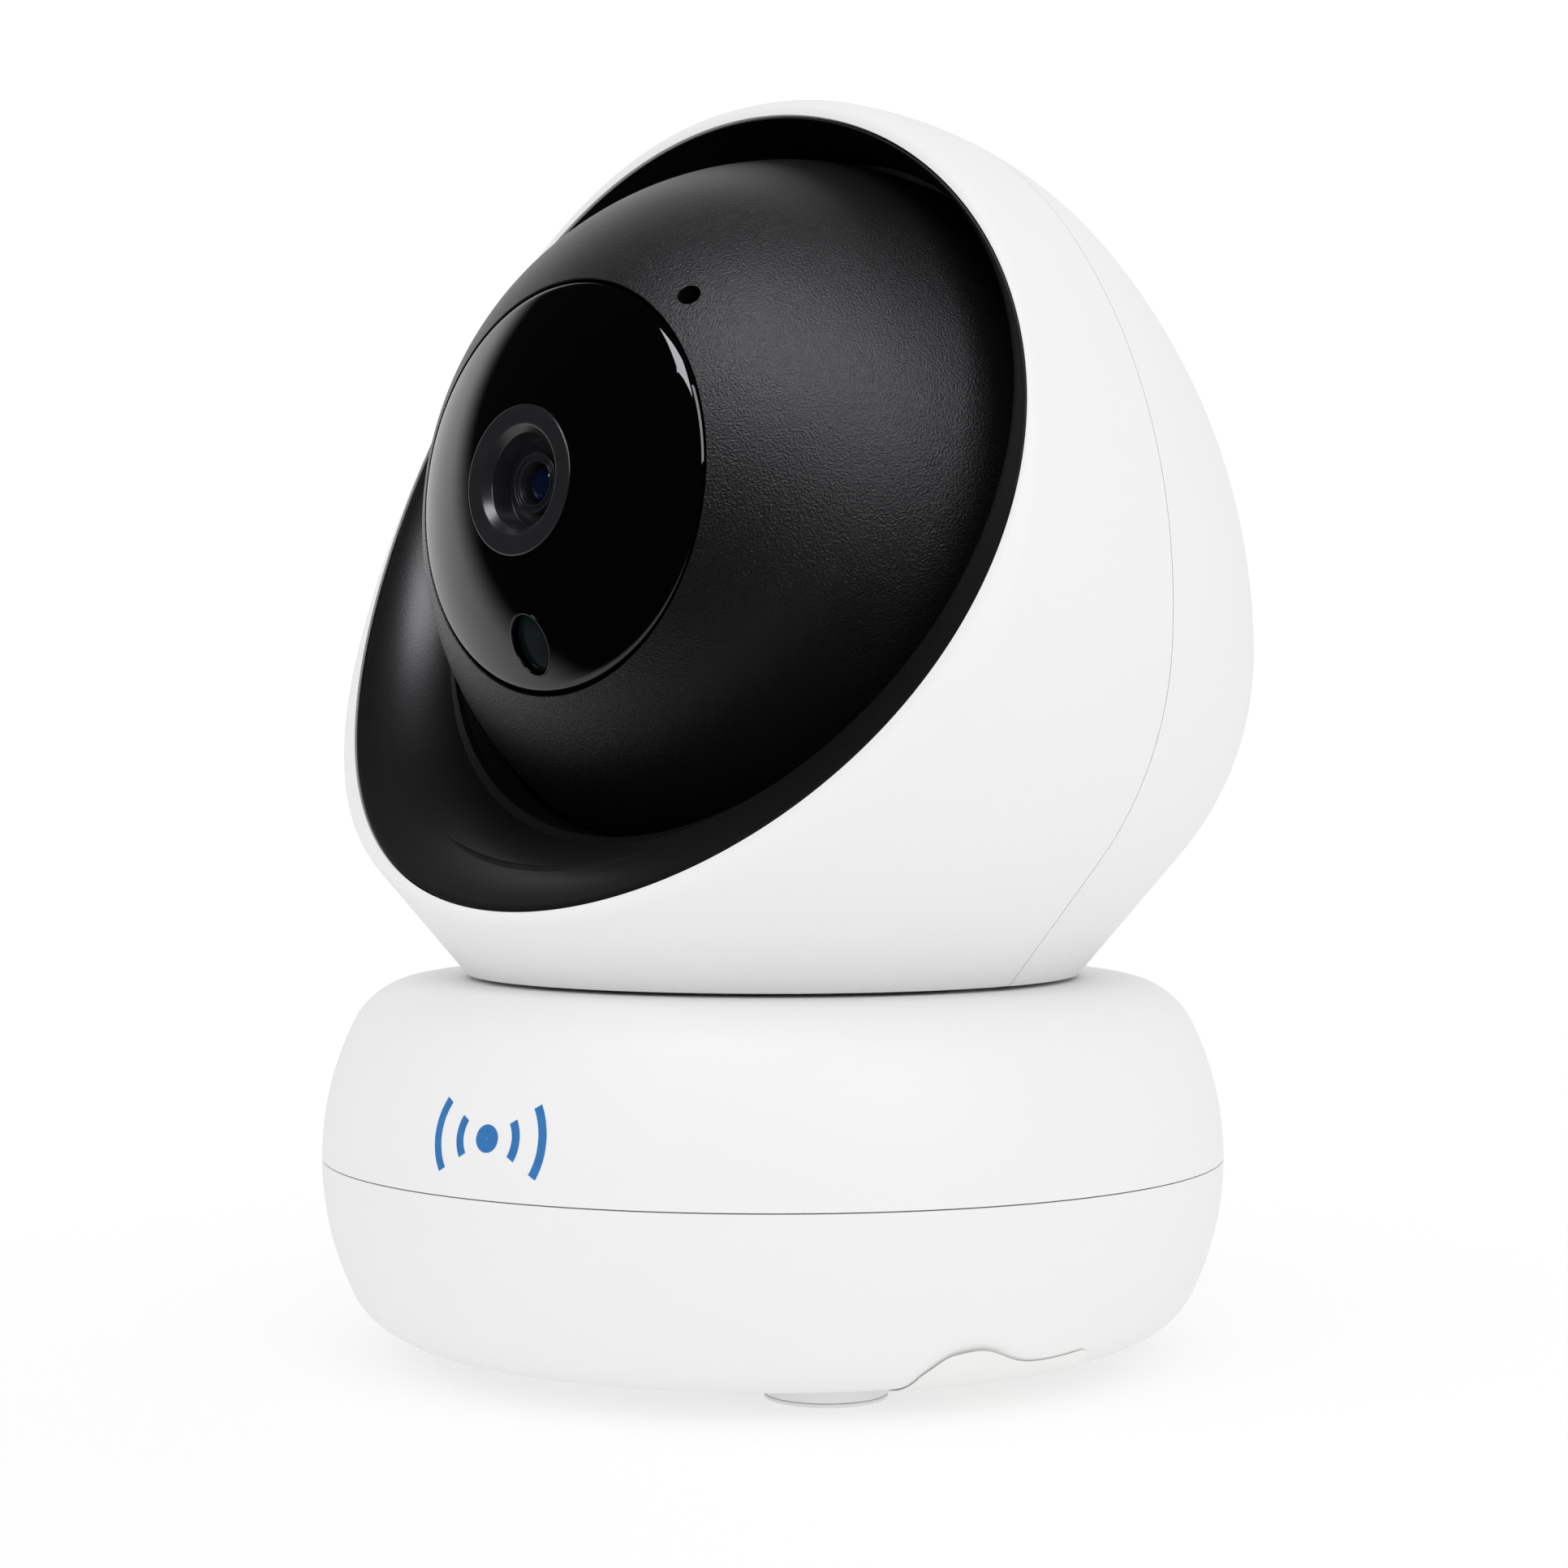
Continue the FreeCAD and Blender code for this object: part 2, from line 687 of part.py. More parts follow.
def thrust_washer():
    """The washer that keeps the head from lifting, between the gear and the bush."""
    gear_top = S["pan_gear_floor"] + S["pan_gear_width"]
    body = new_body()
    disc(body, 19.0, gear_top, gear_top + 1.0, S["hub_radius"])
    return keep(body, "thrust_washer")


def hub_screws():
    """Three screws that hold the gear to the hub."""
    screws = []
    for angle in HUB_SCREWS:
        x, y = turned(HUB_SCREW_PLACE, angle)
        screws.append(screw(x, y, S["pan_gear_floor"] - 1.2, 1.7, 1.2, 0.9, 9.0))
    keep(group(screws), "hub_screws")


# ---------------------------------------------------------------- head shells

def head_profile(inset):
    """The head's outline from the crown down to the neck: three smooth arcs and a cone."""
    shoulder = S["head_shoulder_arc"]
    crown = S["head_crown_arc"]
    lower = S["head_lower_arc"]
    turn = S["head_shoulder_turn"]
    fall = S["head_lower_turn"]
    middle = S["head_middle"]
    axis = S["head_radius"] - shoulder
    crown_axis = axis + (shoulder - crown) * cosine(turn)
    top = middle + (shoulder - crown) * sine(turn) + crown - inset
    shoulder_point = (axis + (shoulder - inset) * cosine(turn), middle + (shoulder - inset) * sine(turn))
    side_point = (S["head_radius"] - inset, middle)
    lower_axis = S["head_radius"] - lower
    lower_point = (lower_axis + (lower - inset) * cosine(fall), middle - (lower - inset) * sine(fall))
    slope = sine(fall) / cosine(fall)
    neck = (lower_point[0] - slope * (lower_point[1] - S["head_floor"]), S["head_floor"])
    return [(0, top), (crown_axis, top, crown - inset, -1), (*shoulder_point, shoulder - inset, -1),
            (*side_point, lower - inset, -1), lower_point, neck]


def backwards(corners):
    """The same outline drawn the other way, with its arcs turning the other way too."""
    turned_round = []
    for index in range(len(corners) - 1, -1, -1):
        point = corners[index][:2]
        edge = corners[index - 1][2:] if index else ()
        turned_round.append((*point, edge[0], -edge[1]) if edge else point)
    return turned_round


def head_wall(outside, inside):
    """A body with the head's wall between two insets."""
    return revolve(new_body(), head_profile(size(outside)) + backwards(head_profile(size(inside))))


def rim_point(up, forward):
    """A place on the head's middle plane, given square to the leaning opening."""
    lean = S["rim_lean"]
    return (S["rim_back"] - forward * cosine(lean) + up * sine(lean),
            S["rim_height"] + forward * sine(lean) + up * cosine(lean))


def draw_front(sketch):
    """Everything in front of the opening's bent edge, seen from the side."""
    reach = size(50.0)
    bend = S["rim_bend_radius"]
    depth = bend - root(bend * bend - reach * reach)
    corners = [(*rim_point(reach, depth), bend, -1), rim_point(-reach, depth),
               rim_point(-reach, size(70.0)), rim_point(reach, size(70.0))]
    draw_outline(sketch, corners)


def draw_seam_side(sketch, front):
    """Everything in front of or behind the seam between the two shells, seen from the side."""
    gap = S["seam_gap"] / 2 * (1 if front else -1)
    low, high = size(20.0), size(140.0)
    ends = [(S["head_seam_place"] + S["head_seam_lean"] * (z - S["head_floor"]) + gap, z)
            for z in (low, high)]
    far = size(-80.0 if front else 80.0)
    draw_outline(sketch, [ends[0], ends[1], (far, high), (far, low)])


def shell_boss(body, angle):
    """A block on the wall that a screw from the turntable goes into."""
    sketch = new_sketch(body, "XY", TABLE_TOP + 0.05)
    x, y = turned(SHELL_SCREW_PLACE, angle)
    along, across = (cosine(angle), sine(angle)), (-sine(angle), cosine(angle))
    corners = []
    for out, side in ((-2.2, -2.6), (7.4, -2.6), (7.4, 2.6), (-2.2, 2.6)):
        corners.append((x + out * along[0] + side * across[0], y + out * along[1] + side * across[1]))
    draw_outline(sketch, corners)
    pad(body, sketch, 5.0)
    sketch = new_sketch(body, "XY", TABLE_TOP)
    draw_circle(sketch, x, y, 0.9)
    pocket(body, sketch, 4.5, reverse=True)


def dish_loft(inset, name):
    """A funnel from the hole round the eyeball out past the opening's edge."""
    lean = S["dish_lean"]
    hole = doc.addObject("Part::Circle", "Hole" + name)
    bind(hole, "Radius", S["dish_hole"] + S["dish_skin"] - inset)
    place(hole, 0, S["eye_back"] - S["dish_hole_depth"] * cosine(lean),
          S["eye_height"] + S["dish_hole_depth"] * sine(lean), ALONG_X, 90 - lean)
    mouth = doc.addObject("Part::Ellipse", "Mouth" + name)
    bind(mouth, "MajorRadius", S["dish_mouth_across"] - inset)
    bind(mouth, "MinorRadius", S["dish_mouth_tall"] - inset)
    lean = S["rim_lean"]
    out, low = S["dish_mouth_depth"], S["dish_mouth_low"]
    place(mouth, 0, S["eye_back"] - out * cosine(lean) + low * sine(lean),
          S["eye_height"] + out * sine(lean) + low * cosine(lean), ALONG_X, 90 - lean)
    loft = doc.addObject("Part::Loft", "Funnel" + name)
    loft.Sections = [hole, mouth]
    loft.Solid = True
    loft.Ruled = True
    return loft


def front_block():
    """Everything in front of the opening, as a solid."""
    body = new_body()
    sketch = new_sketch(body, "YZ")
    draw_front(sketch)
    pad(body, sketch, 160, symmetric=True)
    return body


def head_front_shell():
    """White front half of the head, with the large opening that the dish closes."""
    body = head_wall(0, S["wall"])
    for angle in SHELL_SCREWS[2:]:
        shell_boss(body, angle)
    sketch = new_sketch(body, "YZ")
    draw_front(sketch)
    pocket(body, sketch, 160, symmetric=True)
    sketch = new_sketch(body, "YZ")
    draw_seam_side(sketch, False)
    pocket(body, sketch, 160, symmetric=True)
    keep(cut(body, dish_loft(size(-0.08), "Seat")), "head_front_shell")


def head_rear_shell():
    """White back half of the head, with a grille over the speaker."""
    body = head_wall(0, S["wall"])
    for angle in SHELL_SCREWS[:2]:
        shell_boss(body, angle)
    sketch = new_sketch(body, "YZ")
    draw_seam_side(sketch, True)
    pocket(body, sketch, 160, symmetric=True)
    sketch = new_sketch(body, "XZ", -60)
    for ring, count in ((0, 1), (2.6, 6), (5.2, 12)):
        for step in range(count):
            x, z = turned(ring, 360.0 / count * step)
            draw_circle(sketch, x, SPEAKER_HEIGHT + z, 0.7)
    pocket(body, sketch, 36, reverse=True)
    return keep(body, "head_rear_shell")


def dish_bezel():
    """The black dish between the opening's edge and the eyeball."""
    ring = cut(dish_loft(size(0), "Back"), dish_loft(S["dish_skin"], "Face"))
    keep(cut(ring, front_block()), "dish_bezel")


def shell_screws():
    """Screws up through the turntable into the shells."""
    screws = []
    for angle in SHELL_SCREWS:
        x, y = turned(SHELL_SCREW_PLACE, angle)
        screws.append(screw(x, y, TABLE_LOW + 0.05, 1.9, 1.2, 0.85, 4.6))
    keep(group(screws), "head_screws")


# ---------------------------------------------------------------- inside the head


def yoke():
    """The fork that carries the eyeball: two arms on a bar across the turntable."""
    body = new_body()
    sketch = new_sketch(body, "XZ", -S["eye_back"])
    top = S["eye_height"] + 6.0
    knee = size(56.5)
    floor = TABLE_TOP
    draw_outline(sketch, [(-25.6, floor), (25.6, floor), (40.2, knee), (40.2, top), (37.9, top),
                          (37.9, knee + 1.0), (24.2, floor + 1.8), (-24.2, floor + 1.8),
                          (-37.9, knee + 1.0), (-37.9, top), (-40.2, top), (-40.2, knee)])
    pad(body, sketch, YOKE_WIDTH, symmetric=True)
    sketch = new_sketch(body, "YZ")
    draw_circle(sketch, S["eye_back"], S["eye_height"], S["pivot_radius"])
    pocket(body, sketch, 100, symmetric=True)
    sketch = new_sketch(body, "XY", floor)
    draw_circle(sketch, 0, S["eye_back"], 5.0)
    for side in (-1, 1):
        draw_circle(sketch, 17.5 * side, S["eye_back"], 1.15)
    pocket(body, sketch, 5, reverse=True)
    return keep(body, "yoke")


def pivots():
    """The plain pin on one side of the eyeball and the shaft with the fixed gear on the other."""
    pin = cylinder(S["pivot_radius"], 8.2, 32.0, S["eye_back"], S["eye_height"], Vector(0, 1, 0), 90)
    keep(pin, "tilt_pin")
    shaft = cylinder(S["pivot_radius"], 14.5, -40.2, S["eye_back"], S["eye_height"],
                     Vector(0, 1, 0), 90)
    keep(shaft, "tilt_shaft")


def tilt_gears():
    """The gear fixed to the shaft and the pinion that rolls round it, inside the eyeball."""
    wheel = gear(S["tilt_module"], S["tilt_gear_teeth"], 0, S["tilt_gear_width"],
                 S["pivot_radius"], 180 / S["tilt_gear_teeth"])
    keep(to_side(wheel, S["tilt_gear_side"]), "tilt_gear")
    pinion = gear(S["tilt_module"], S["tilt_pinion_teeth"], -0.3, S["tilt_gear_width"] + 0.6, 0.82)
    pinion = place(pinion, TILT_REACH)
    keep(to_side(pinion, S["tilt_gear_side"]), "tilt_pinion")


def to_side(thing, side):
    """Stands a part on the eyeball's pivot line: its +Z becomes +X and its -X the lens axis."""
    lying = place(group([thing]), side, 0, 0, Vector(0, 1, 0), 90)
    return in_eye(group([lying]))


def main_board():
    """The round circuit board over the turntable, with its processor and radio can."""
    low = TABLE_TOP + 2.6
    body = new_body()
    disc(body, 20.5, low, low + 1.4, 7.0)
    keep(body, "main_board")
    keep(box(9, 9, 1.4, 0, -13.2, low + 1.4), "processor")
    keep(box(12, 8, 1.6, 0, 13.4, low + 1.4), "radio_module")
    posts = [cut(cylinder(2.0, 2.6, *turned(18.0, angle), TABLE_TOP),
                 cylinder(0.8, 5.0, *turned(18.0, angle), TABLE_TOP - 1)) for angle in BOARD_FEET]
    keep(group(posts), "board_spacers")


def antenna():
    """A thin aerial strip on the inside of the rear shell."""
    keep(box(30.0, 0.4, 6.0, 0, 40.9, 76.0), "antenna")


def speaker():
    """The loudspeaker behind the grille."""
    body = revolve(new_body(), [(0, 0), (8.0, 0), (8.0, 4.0), (10.0, 5.0), (10.0, 6.5), (7.6, 6.5),
                                (5.0, 5.4), (0, 5.8)])
    place(body, 0, 31.4, SPEAKER_HEIGHT + 5.4, ALONG_X, -90 - S["head_lower_turn"])
    return keep(body, "speaker")


# ---------------------------------------------------------------- eyeball

def sphere_height(radius, out):
    """How far along the lens axis a sphere's surface is, at a distance from that axis."""
    return root(size(radius) * radius - size(out) * out)


def along_polar(thing, polar, clock, distance):
    """Points a part's +Z away from the eyeball's centre, tilted from the lens axis."""
    polar, clock = size(polar), size(clock)
    across = distance * sine(polar)
    tilt_axis = Vector(-math.cos(math.radians(clock.number)), math.sin(math.radians(clock.number)), 0)
    return place(thing, across * sine(clock), across * cosine(clock), distance * cosine(polar),
                 tilt_axis, polar)


def eye_front_shell():
    """Black front of the eyeball with the seat for the lens cover."""
    outer = S["eye_radius"]
    inner = outer - S["eye_wall"]
    split = S["eye_split"]
    seat = S["cover_radius"] + 0.18
    seat_floor = outer - S["cover_skin"] - 0.02
    lip = size(17.4)
    start = root(outer * outer - split * split)
    inner_start = root(inner * inner - split * split)
    corners = [(start, split, outer, 1), (seat, sphere_height(outer, seat)),
               (seat, sphere_height(seat_floor, seat)), (lip, sphere_height(seat_floor, lip)),
               (lip, sphere_height(inner, 20.8)), (20.8, sphere_height(inner, 20.8), inner, -1),
               (inner_start, split)]
    body = revolve(new_body(), corners)
    sketch = new_sketch(body, "YZ")
    draw_circle(sketch, 0, 0, 4.0)
    pocket(body, sketch, 100, symmetric=True)
    for side in (-1, 1):
        sketch = new_sketch(body, "XY", split)
        draw_circle(sketch, 0, 29.5 * side, 2.4)
        pad(body, sketch, 21.0)
        sketch = new_sketch(body, "XY", split)
        draw_circle(sketch, 0, 29.5 * side, 0.9)
        pocket(body, sketch, 8, reverse=True)
    mic_hole = along_polar(cylinder(1.1, 12), S["mic_polar"], S["mic_clock"], size(29.0))
    keep(in_eye(cut(body, mic_hole)), "eye_front_shell")


def eye_rear_shell():
    """Black back of the eyeball, cut flat behind so that it clears the head."""
    outer = S["eye_radius"]
    inner = outer - S["eye_wall"]
    split = S["eye_split"] - 0.1
    back = size(-33.0)
    start = root(outer * outer - split * split)
    inner_start = root(inner * inner - split * split)
    end = root(outer * outer - back * back)
    floor = back + S["eye_wall"]
    corners = [(0, back), (end, back, outer, 1), (start, split), (inner_start, split, inner, -1),
               (root(inner * inner - floor * floor), floor), (0, floor)]
    body = revolve(new_body(), corners)
    for side in (-1, 1):
        sketch = new_sketch(body, "XY", split)
        draw_circle(sketch, 0, 29.5 * side, 2.4)
        feature = pad(body, sketch, 12.0)
        feature.Reversed = True
    sketch = new_sketch(body, "XY", -40)
    for side in (-1, 1):
        draw_circle(sketch, 0, 29.5 * side, 1.15)
    pocket(body, sketch, 60, reverse=True)
    sketch = new_sketch(body, "XY", -40)
    for side in (-1, 1):
        draw_circle(sketch, 0, 29.5 * side, 2.0)
    pocket(body, sketch, 26, reverse=True)
    sketch = new_sketch(body, "XY", -40)
    draw_circle(sketch, 0, -12.0, 4.0)
    pocket(body, sketch, 12, reverse=True)
    return keep(in_eye(body), "eye_rear_shell")


def eye_screws():
    """Two screws that hold the halves of the eyeball together."""
    screws = [screw(0, 29.5 * side, -15.3, 1.8, 1.2, 0.85, 14.0) for side in (-1, 1)]
    keep(in_eye(group(screws)), "eye_screws")


def window_plug(across, tall, low, high):
    """An oval plug through the cover, below the lens."""
    oval = doc.addObject("Part::Ellipse", "Oval")
    bind(oval, "MajorRadius", size(tall) / 2)
    bind(oval, "MinorRadius", size(across) / 2)
    plug = doc.addObject("Part::Extrusion", "Plug")
    plug.Base = oval
    plug.Dir = UP
    plug.DirMode = "Custom"
    bind(plug, "LengthFwd", size(high) - low)
    plug.Solid = True
    place(oval, 0, 0, 0, UP, 90)
    return along_polar(group([plug]), S["window_fall"], 180, size(low))


def lens_cover():
    """The glossy round cover that follows the eyeball, open for the lens and the sensor."""
    outer = S["eye_radius"]
    inner = outer - S["cover_skin"]
    edge = S["cover_radius"]
    hole = size(7.7)
    body = revolve(new_body(), [(edge, sphere_height(inner, edge)),
                                (edge, sphere_height(outer, edge), outer, 1),
                                (hole, sphere_height(outer, hole)),
                                (hole, sphere_height(inner, hole), inner, -1)])
    keep(in_eye(cut(body, window_plug(4.9, 6.0, 33.0, 38.0))), "lens_cover")


def sensor_window():
    """The dark glass over the light sensor, a little below the cover's surface."""
    keep(in_eye(group([window_plug(4.8, 5.9, 35.3, 36.3)])), "light_sensor_window")


def lens_parts():
    """The ring round the lens, the barrel, its front glass, and the holder."""
    ring = revolve(new_body(), [(7.6, 33.9), (7.6, 35.7), (7.2, 36.1), (6.0, 36.1), (5.7, 35.8),
                                (5.2, 34.0), (4.2, 33.0), (4.2, 31.6), (6.6, 31.6), (6.6, 33.9)])
    keep(in_eye(ring), "lens_ring")
    barrel = revolve(new_body(), [(0, 14.0), (5.9, 14.0), (5.9, 31.5), (4.0, 31.5), (3.3, 30.3),
                                  (3.3, 27.0), (0, 27.0)])
    keep(in_eye(barrel), "lens_barrel")
    bulge = size(6.0)
    crown = 29.3 + bulge - root(bulge * bulge - 3.2 * 3.2)
    glass = revolve(new_body(), [(0, 27.1), (3.2, 27.1), (3.2, 29.3, bulge, 1), (0, crown)])
    keep(in_eye(glass), "front_lens")
    holder = revolve(new_body(), [(5.95, 11.0), (11.0, 11.0), (11.0, 12.6), (7.9, 12.6),
                                  (7.9, 22.0), (5.95, 22.0)])
    keep(in_eye(holder), "lens_holder")


def camera_boards():
    """The image sensor on its board, and the bracket across the eyeball that holds it."""
    keep(in_eye(group([box(20, 20, 1.2, 0, 0, 9.7)])), "sensor_board")
    keep(in_eye(group([box(8, 7, 1.0, 0, 0, 10.95)])), "image_sensor")
    bar = cut(box(59.4, 20.0, 1.6, 0, 0, 12.7), cylinder(8.1, 4.0, 0, 0, 11.5))
    keep(in_eye(bar), "camera_bracket")


def night_lights():
    """The ring-shaped board behind the cover, its infrared lamps and the light sensor."""
    body = new_body()
    disc(body, 17.0, 26.8, 28.0, 8.4)
    keep(in_eye(body), "led_board")
    lamps = []
    for angle in (30, 75, 105, 150, 210, 330):
        dome = doc.addObject("Part::Sphere", "Dome")
        bind(dome, "Radius", 1.4)
        place(dome, z=2.6)
        lamp = fuse(cylinder(1.9, 1.2), cylinder(1.4, 2.6), dome)
        x, y = turned(12.6, angle)
        lamps.append(place(lamp, x, y, 28.0))
    keep(in_eye(group(lamps)), "infrared_lamps")
    sensor = box(3.2, 3.2, 2.0, 0, -13.0, 28.0)
    keep(in_eye(group([sensor])), "light_sensor")


def microphone():
    """The microphone capsule and the rubber boot that seals it to its hole."""
    capsule = along_polar(cylinder(1.4, 1.2), S["mic_polar"], S["mic_clock"], size(30.8))
    keep(in_eye(group([capsule])), "microphone")
    boot = cut(cylinder(1.9, 2.4), cylinder(1.4, 1.3))
    boot = cut(boot, cylinder(0.8, 5.0))
    boot = along_polar(boot, S["mic_polar"], S["mic_clock"], size(30.7))
    keep(in_eye(group([boot])), "microphone_boot")


def eye_bushes():
    """The bushes in the eyeball's sides that turn on the pin and the shaft."""
    for name, side in (("right", 1), ("left", -1)):
        bore = S["pivot_radius"] + S["running_gap"]
        bush = revolve(new_body(), [(bore, 33.2), (5.4, 33.2), (5.4, 34.0), (4.0, 34.0),
                                    (4.0, 37.0), (bore, 37.0)])
        place(bush, 0, 0, 0, Vector(0, 1, 0), 90 * side)
        keep(in_eye(group([bush])), "eye_bush_%s" % name)


def tilt_motor():
    """The motor inside the eyeball that rolls it round the fixed gear."""
    motor = can_motor(9.5, 13.0, 0.75, 6.6, 12.0, 2.4, 0.9)
    standing = group([place(motor, 0, 0, 0)])
    lying = place(standing, TILT_MOTOR_SIDE, 0, -TILT_REACH, Vector(0, 1, 0), -90)
    keep(in_eye(group([lying])), "tilt_motor")
    plate = box(1.6, 33.0, 8.0, TILT_MOTOR_SIDE - 13.85, 0, -TILT_REACH - 4.0)
    bore = cylinder(3.0, 8.0, TILT_MOTOR_SIDE - 17.0, 0, -TILT_REACH, Vector(0, 1, 0), 90)
    keep(in_eye(cut(plate, bore)), "tilt_motor_bracket")


# ---------------------------------------------------------------- build and write

def build():
    base_upper_shell()
    base_lower_shell()
    foot_pads()
    base_screws()
    ballast_plate()
    base_board()
    power_socket()
    card_socket()
    reset_parts()
    rating_label()
    pan_motor()
    pan_gears()
    turntable()
    pan_bearing()
    thrust_washer()
    hub_screws()
    head_front_shell()
    head_rear_shell()
    dish_bezel()
    shell_screws()
    yoke()
    pivots()
    tilt_gears()
    main_board()
    antenna()
    speaker()
    eye_front_shell()
    eye_rear_shell()
    eye_screws()
    lens_cover()
    sensor_window()
    lens_parts()
    camera_boards()
    night_lights()
    microphone()
    eye_bushes()
    tilt_motor()


def check():
    """Stops before anything is written if an object failed or a sub-part has no sound shape."""
    for thing in doc.Objects:
        if "Invalid" in thing.State or "Error" in thing.State:
            raise RuntimeError("%s (%s) failed: %s" % (thing.Name, thing.Label, thing.State))
    for node in nodes:
        if node.Shape.isNull() or not node.Shape.isValid() or not node.Shape.Solids:
            raise RuntimeError("%s has no valid shape" % node.Label)


def write():
    os.makedirs("parts", exist_ok=True)
    for node in nodes:
        node.Shape.exportStep("parts/%s.step" % node.Label)


build()
doc.recompute()
check()
write()
print("%d sub-parts written" % len(nodes))
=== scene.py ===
import json
from math import acos, asin, atan2, cos, degrees, exp, hypot, pi, radians, sin, sqrt, tan

import bmesh
import bpy
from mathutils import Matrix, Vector
from mathutils.bvhtree import BVHTree


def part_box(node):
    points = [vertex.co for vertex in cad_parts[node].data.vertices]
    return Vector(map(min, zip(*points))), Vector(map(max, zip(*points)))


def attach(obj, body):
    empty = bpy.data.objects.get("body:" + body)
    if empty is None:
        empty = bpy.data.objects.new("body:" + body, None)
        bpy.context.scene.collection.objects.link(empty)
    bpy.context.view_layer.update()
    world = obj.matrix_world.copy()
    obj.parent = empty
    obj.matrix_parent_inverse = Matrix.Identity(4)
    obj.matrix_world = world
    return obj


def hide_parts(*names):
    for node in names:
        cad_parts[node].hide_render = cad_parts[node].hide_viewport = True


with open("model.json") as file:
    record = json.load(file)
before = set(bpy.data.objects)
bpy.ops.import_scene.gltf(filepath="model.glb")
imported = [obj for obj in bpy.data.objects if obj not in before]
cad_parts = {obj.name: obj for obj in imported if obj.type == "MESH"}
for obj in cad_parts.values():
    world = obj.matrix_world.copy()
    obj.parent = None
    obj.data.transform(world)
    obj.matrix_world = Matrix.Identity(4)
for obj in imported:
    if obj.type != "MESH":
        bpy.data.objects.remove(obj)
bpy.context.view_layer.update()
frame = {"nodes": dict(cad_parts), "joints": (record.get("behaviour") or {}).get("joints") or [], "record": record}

# A baby monitor camera: a round white base, an egg-shaped white head that pans on it, and a black
# eyeball that tilts in a dish in the front of the head. Lengths are in millimetres until a mesh is
# made of them.
MM = 0.001


# ---------------------------------------------------------------- finishes

def linear(red, green, blue):
    """A colour given as screen values from 0 to 255, as linear light."""
    values = []
    for value in (red, green, blue):
        share = value / 255
        values.append(share / 12.92 if share <= 0.04045 else ((share + 0.055) / 1.055) ** 2.4)
    return (*values, 1.0)


class Finish:
    """A node material on one Principled shader, with procedural detail added step by step."""

    def __init__(self, name, colour, roughness, **settings):
        self.material = bpy.data.materials.new(name)
        self.material.use_nodes = True
        self.tree = self.material.node_tree
        self.shader = self.tree.nodes["Principled BSDF"]
        self.shader.inputs["Base Color"].default_value = colour
        self.shader.inputs["Roughness"].default_value = roughness
        for setting, value in settings.items():
            socket = setting.replace("_", " ").title().replace("Ior", "IOR")
            self.shader.inputs[socket].default_value = value
        self.colour, self.roughness = colour, roughness
        self.place = self.node("ShaderNodeTexCoord").outputs["Object"]

    def node(self, kind, **values):
        """A new shader node of a kind, with these properties set."""
        made = self.tree.nodes.new(kind)
        for name, value in values.items():
            setattr(made, name, value)
        return made

    def link(self, source, target):
        self.tree.links.new(source, target)

    def noise(self, size, detail=2.0, stretch=(1, 1, 1)):
        """Noise whose grains are about this size in millimetres."""
        mapping = self.node("ShaderNodeMapping")
        mapping.inputs["Scale"].default_value = [part / (size * MM) for part in stretch]
        texture = self.node("ShaderNodeTexNoise")
        texture.inputs["Scale"].default_value = 1.0
        texture.inputs["Detail"].default_value = detail
        self.link(self.place, mapping.inputs["Vector"])
        self.link(mapping.outputs["Vector"], texture.inputs["Vector"])
        return texture.outputs["Fac"]

    def between(self, source, low, high):
        """The source from 0 to 1 spread between two values."""
        spread = self.node("ShaderNodeMapRange")
        spread.inputs["To Min"].default_value = low
        spread.inputs["To Max"].default_value = high
        self.link(source, spread.inputs["Value"])
        return spread.outputs["Result"]

    def tones(self, source, *stops):
        """A colour ramp of (place, colour) stops."""
        ramp = self.node("ShaderNodeValToRGB")
        while len(ramp.color_ramp.elements) < len(stops):
            ramp.color_ramp.elements.new(0.5)
        for element, (place, colour) in zip(ramp.color_ramp.elements, stops):
            element.position, element.color = place, colour
        self.link(source, ramp.inputs["Fac"])
        return ramp.outputs["Color"]

    def mottle(self, size, amount):
        """Slow variation of the colour, lighter and darker by a share."""
        low = tuple(part * (1 - amount) for part in self.colour[:3]) + (1,)
        high = tuple(min(1, part * (1 + amount)) for part in self.colour[:3]) + (1,)
        patches = self.tones(self.noise(size), (0.3, low), (0.7, high))
        self.link(patches, self.shader.inputs["Base Color"])
        return self

    def wear(self, size, amount):
        """Slow variation of the roughness."""
        source = self.between(self.noise(size, 4), self.roughness - amount, self.roughness + amount)
        self.link(source, self.shader.inputs["Roughness"])
        return self

    def grain(self, size, height, detail=2.0, stretch=(1, 1, 1)):
        """Fine moulded texture: bumps of a size and height in millimetres."""
        bump = self.node("ShaderNodeBump")
        bump.inputs["Distance"].default_value = height * MM
        self.link(self.noise(size, detail, stretch), bump.inputs["Height"])
        self.link(bump.outputs["Normal"], self.shader.inputs["Normal"])
        return self


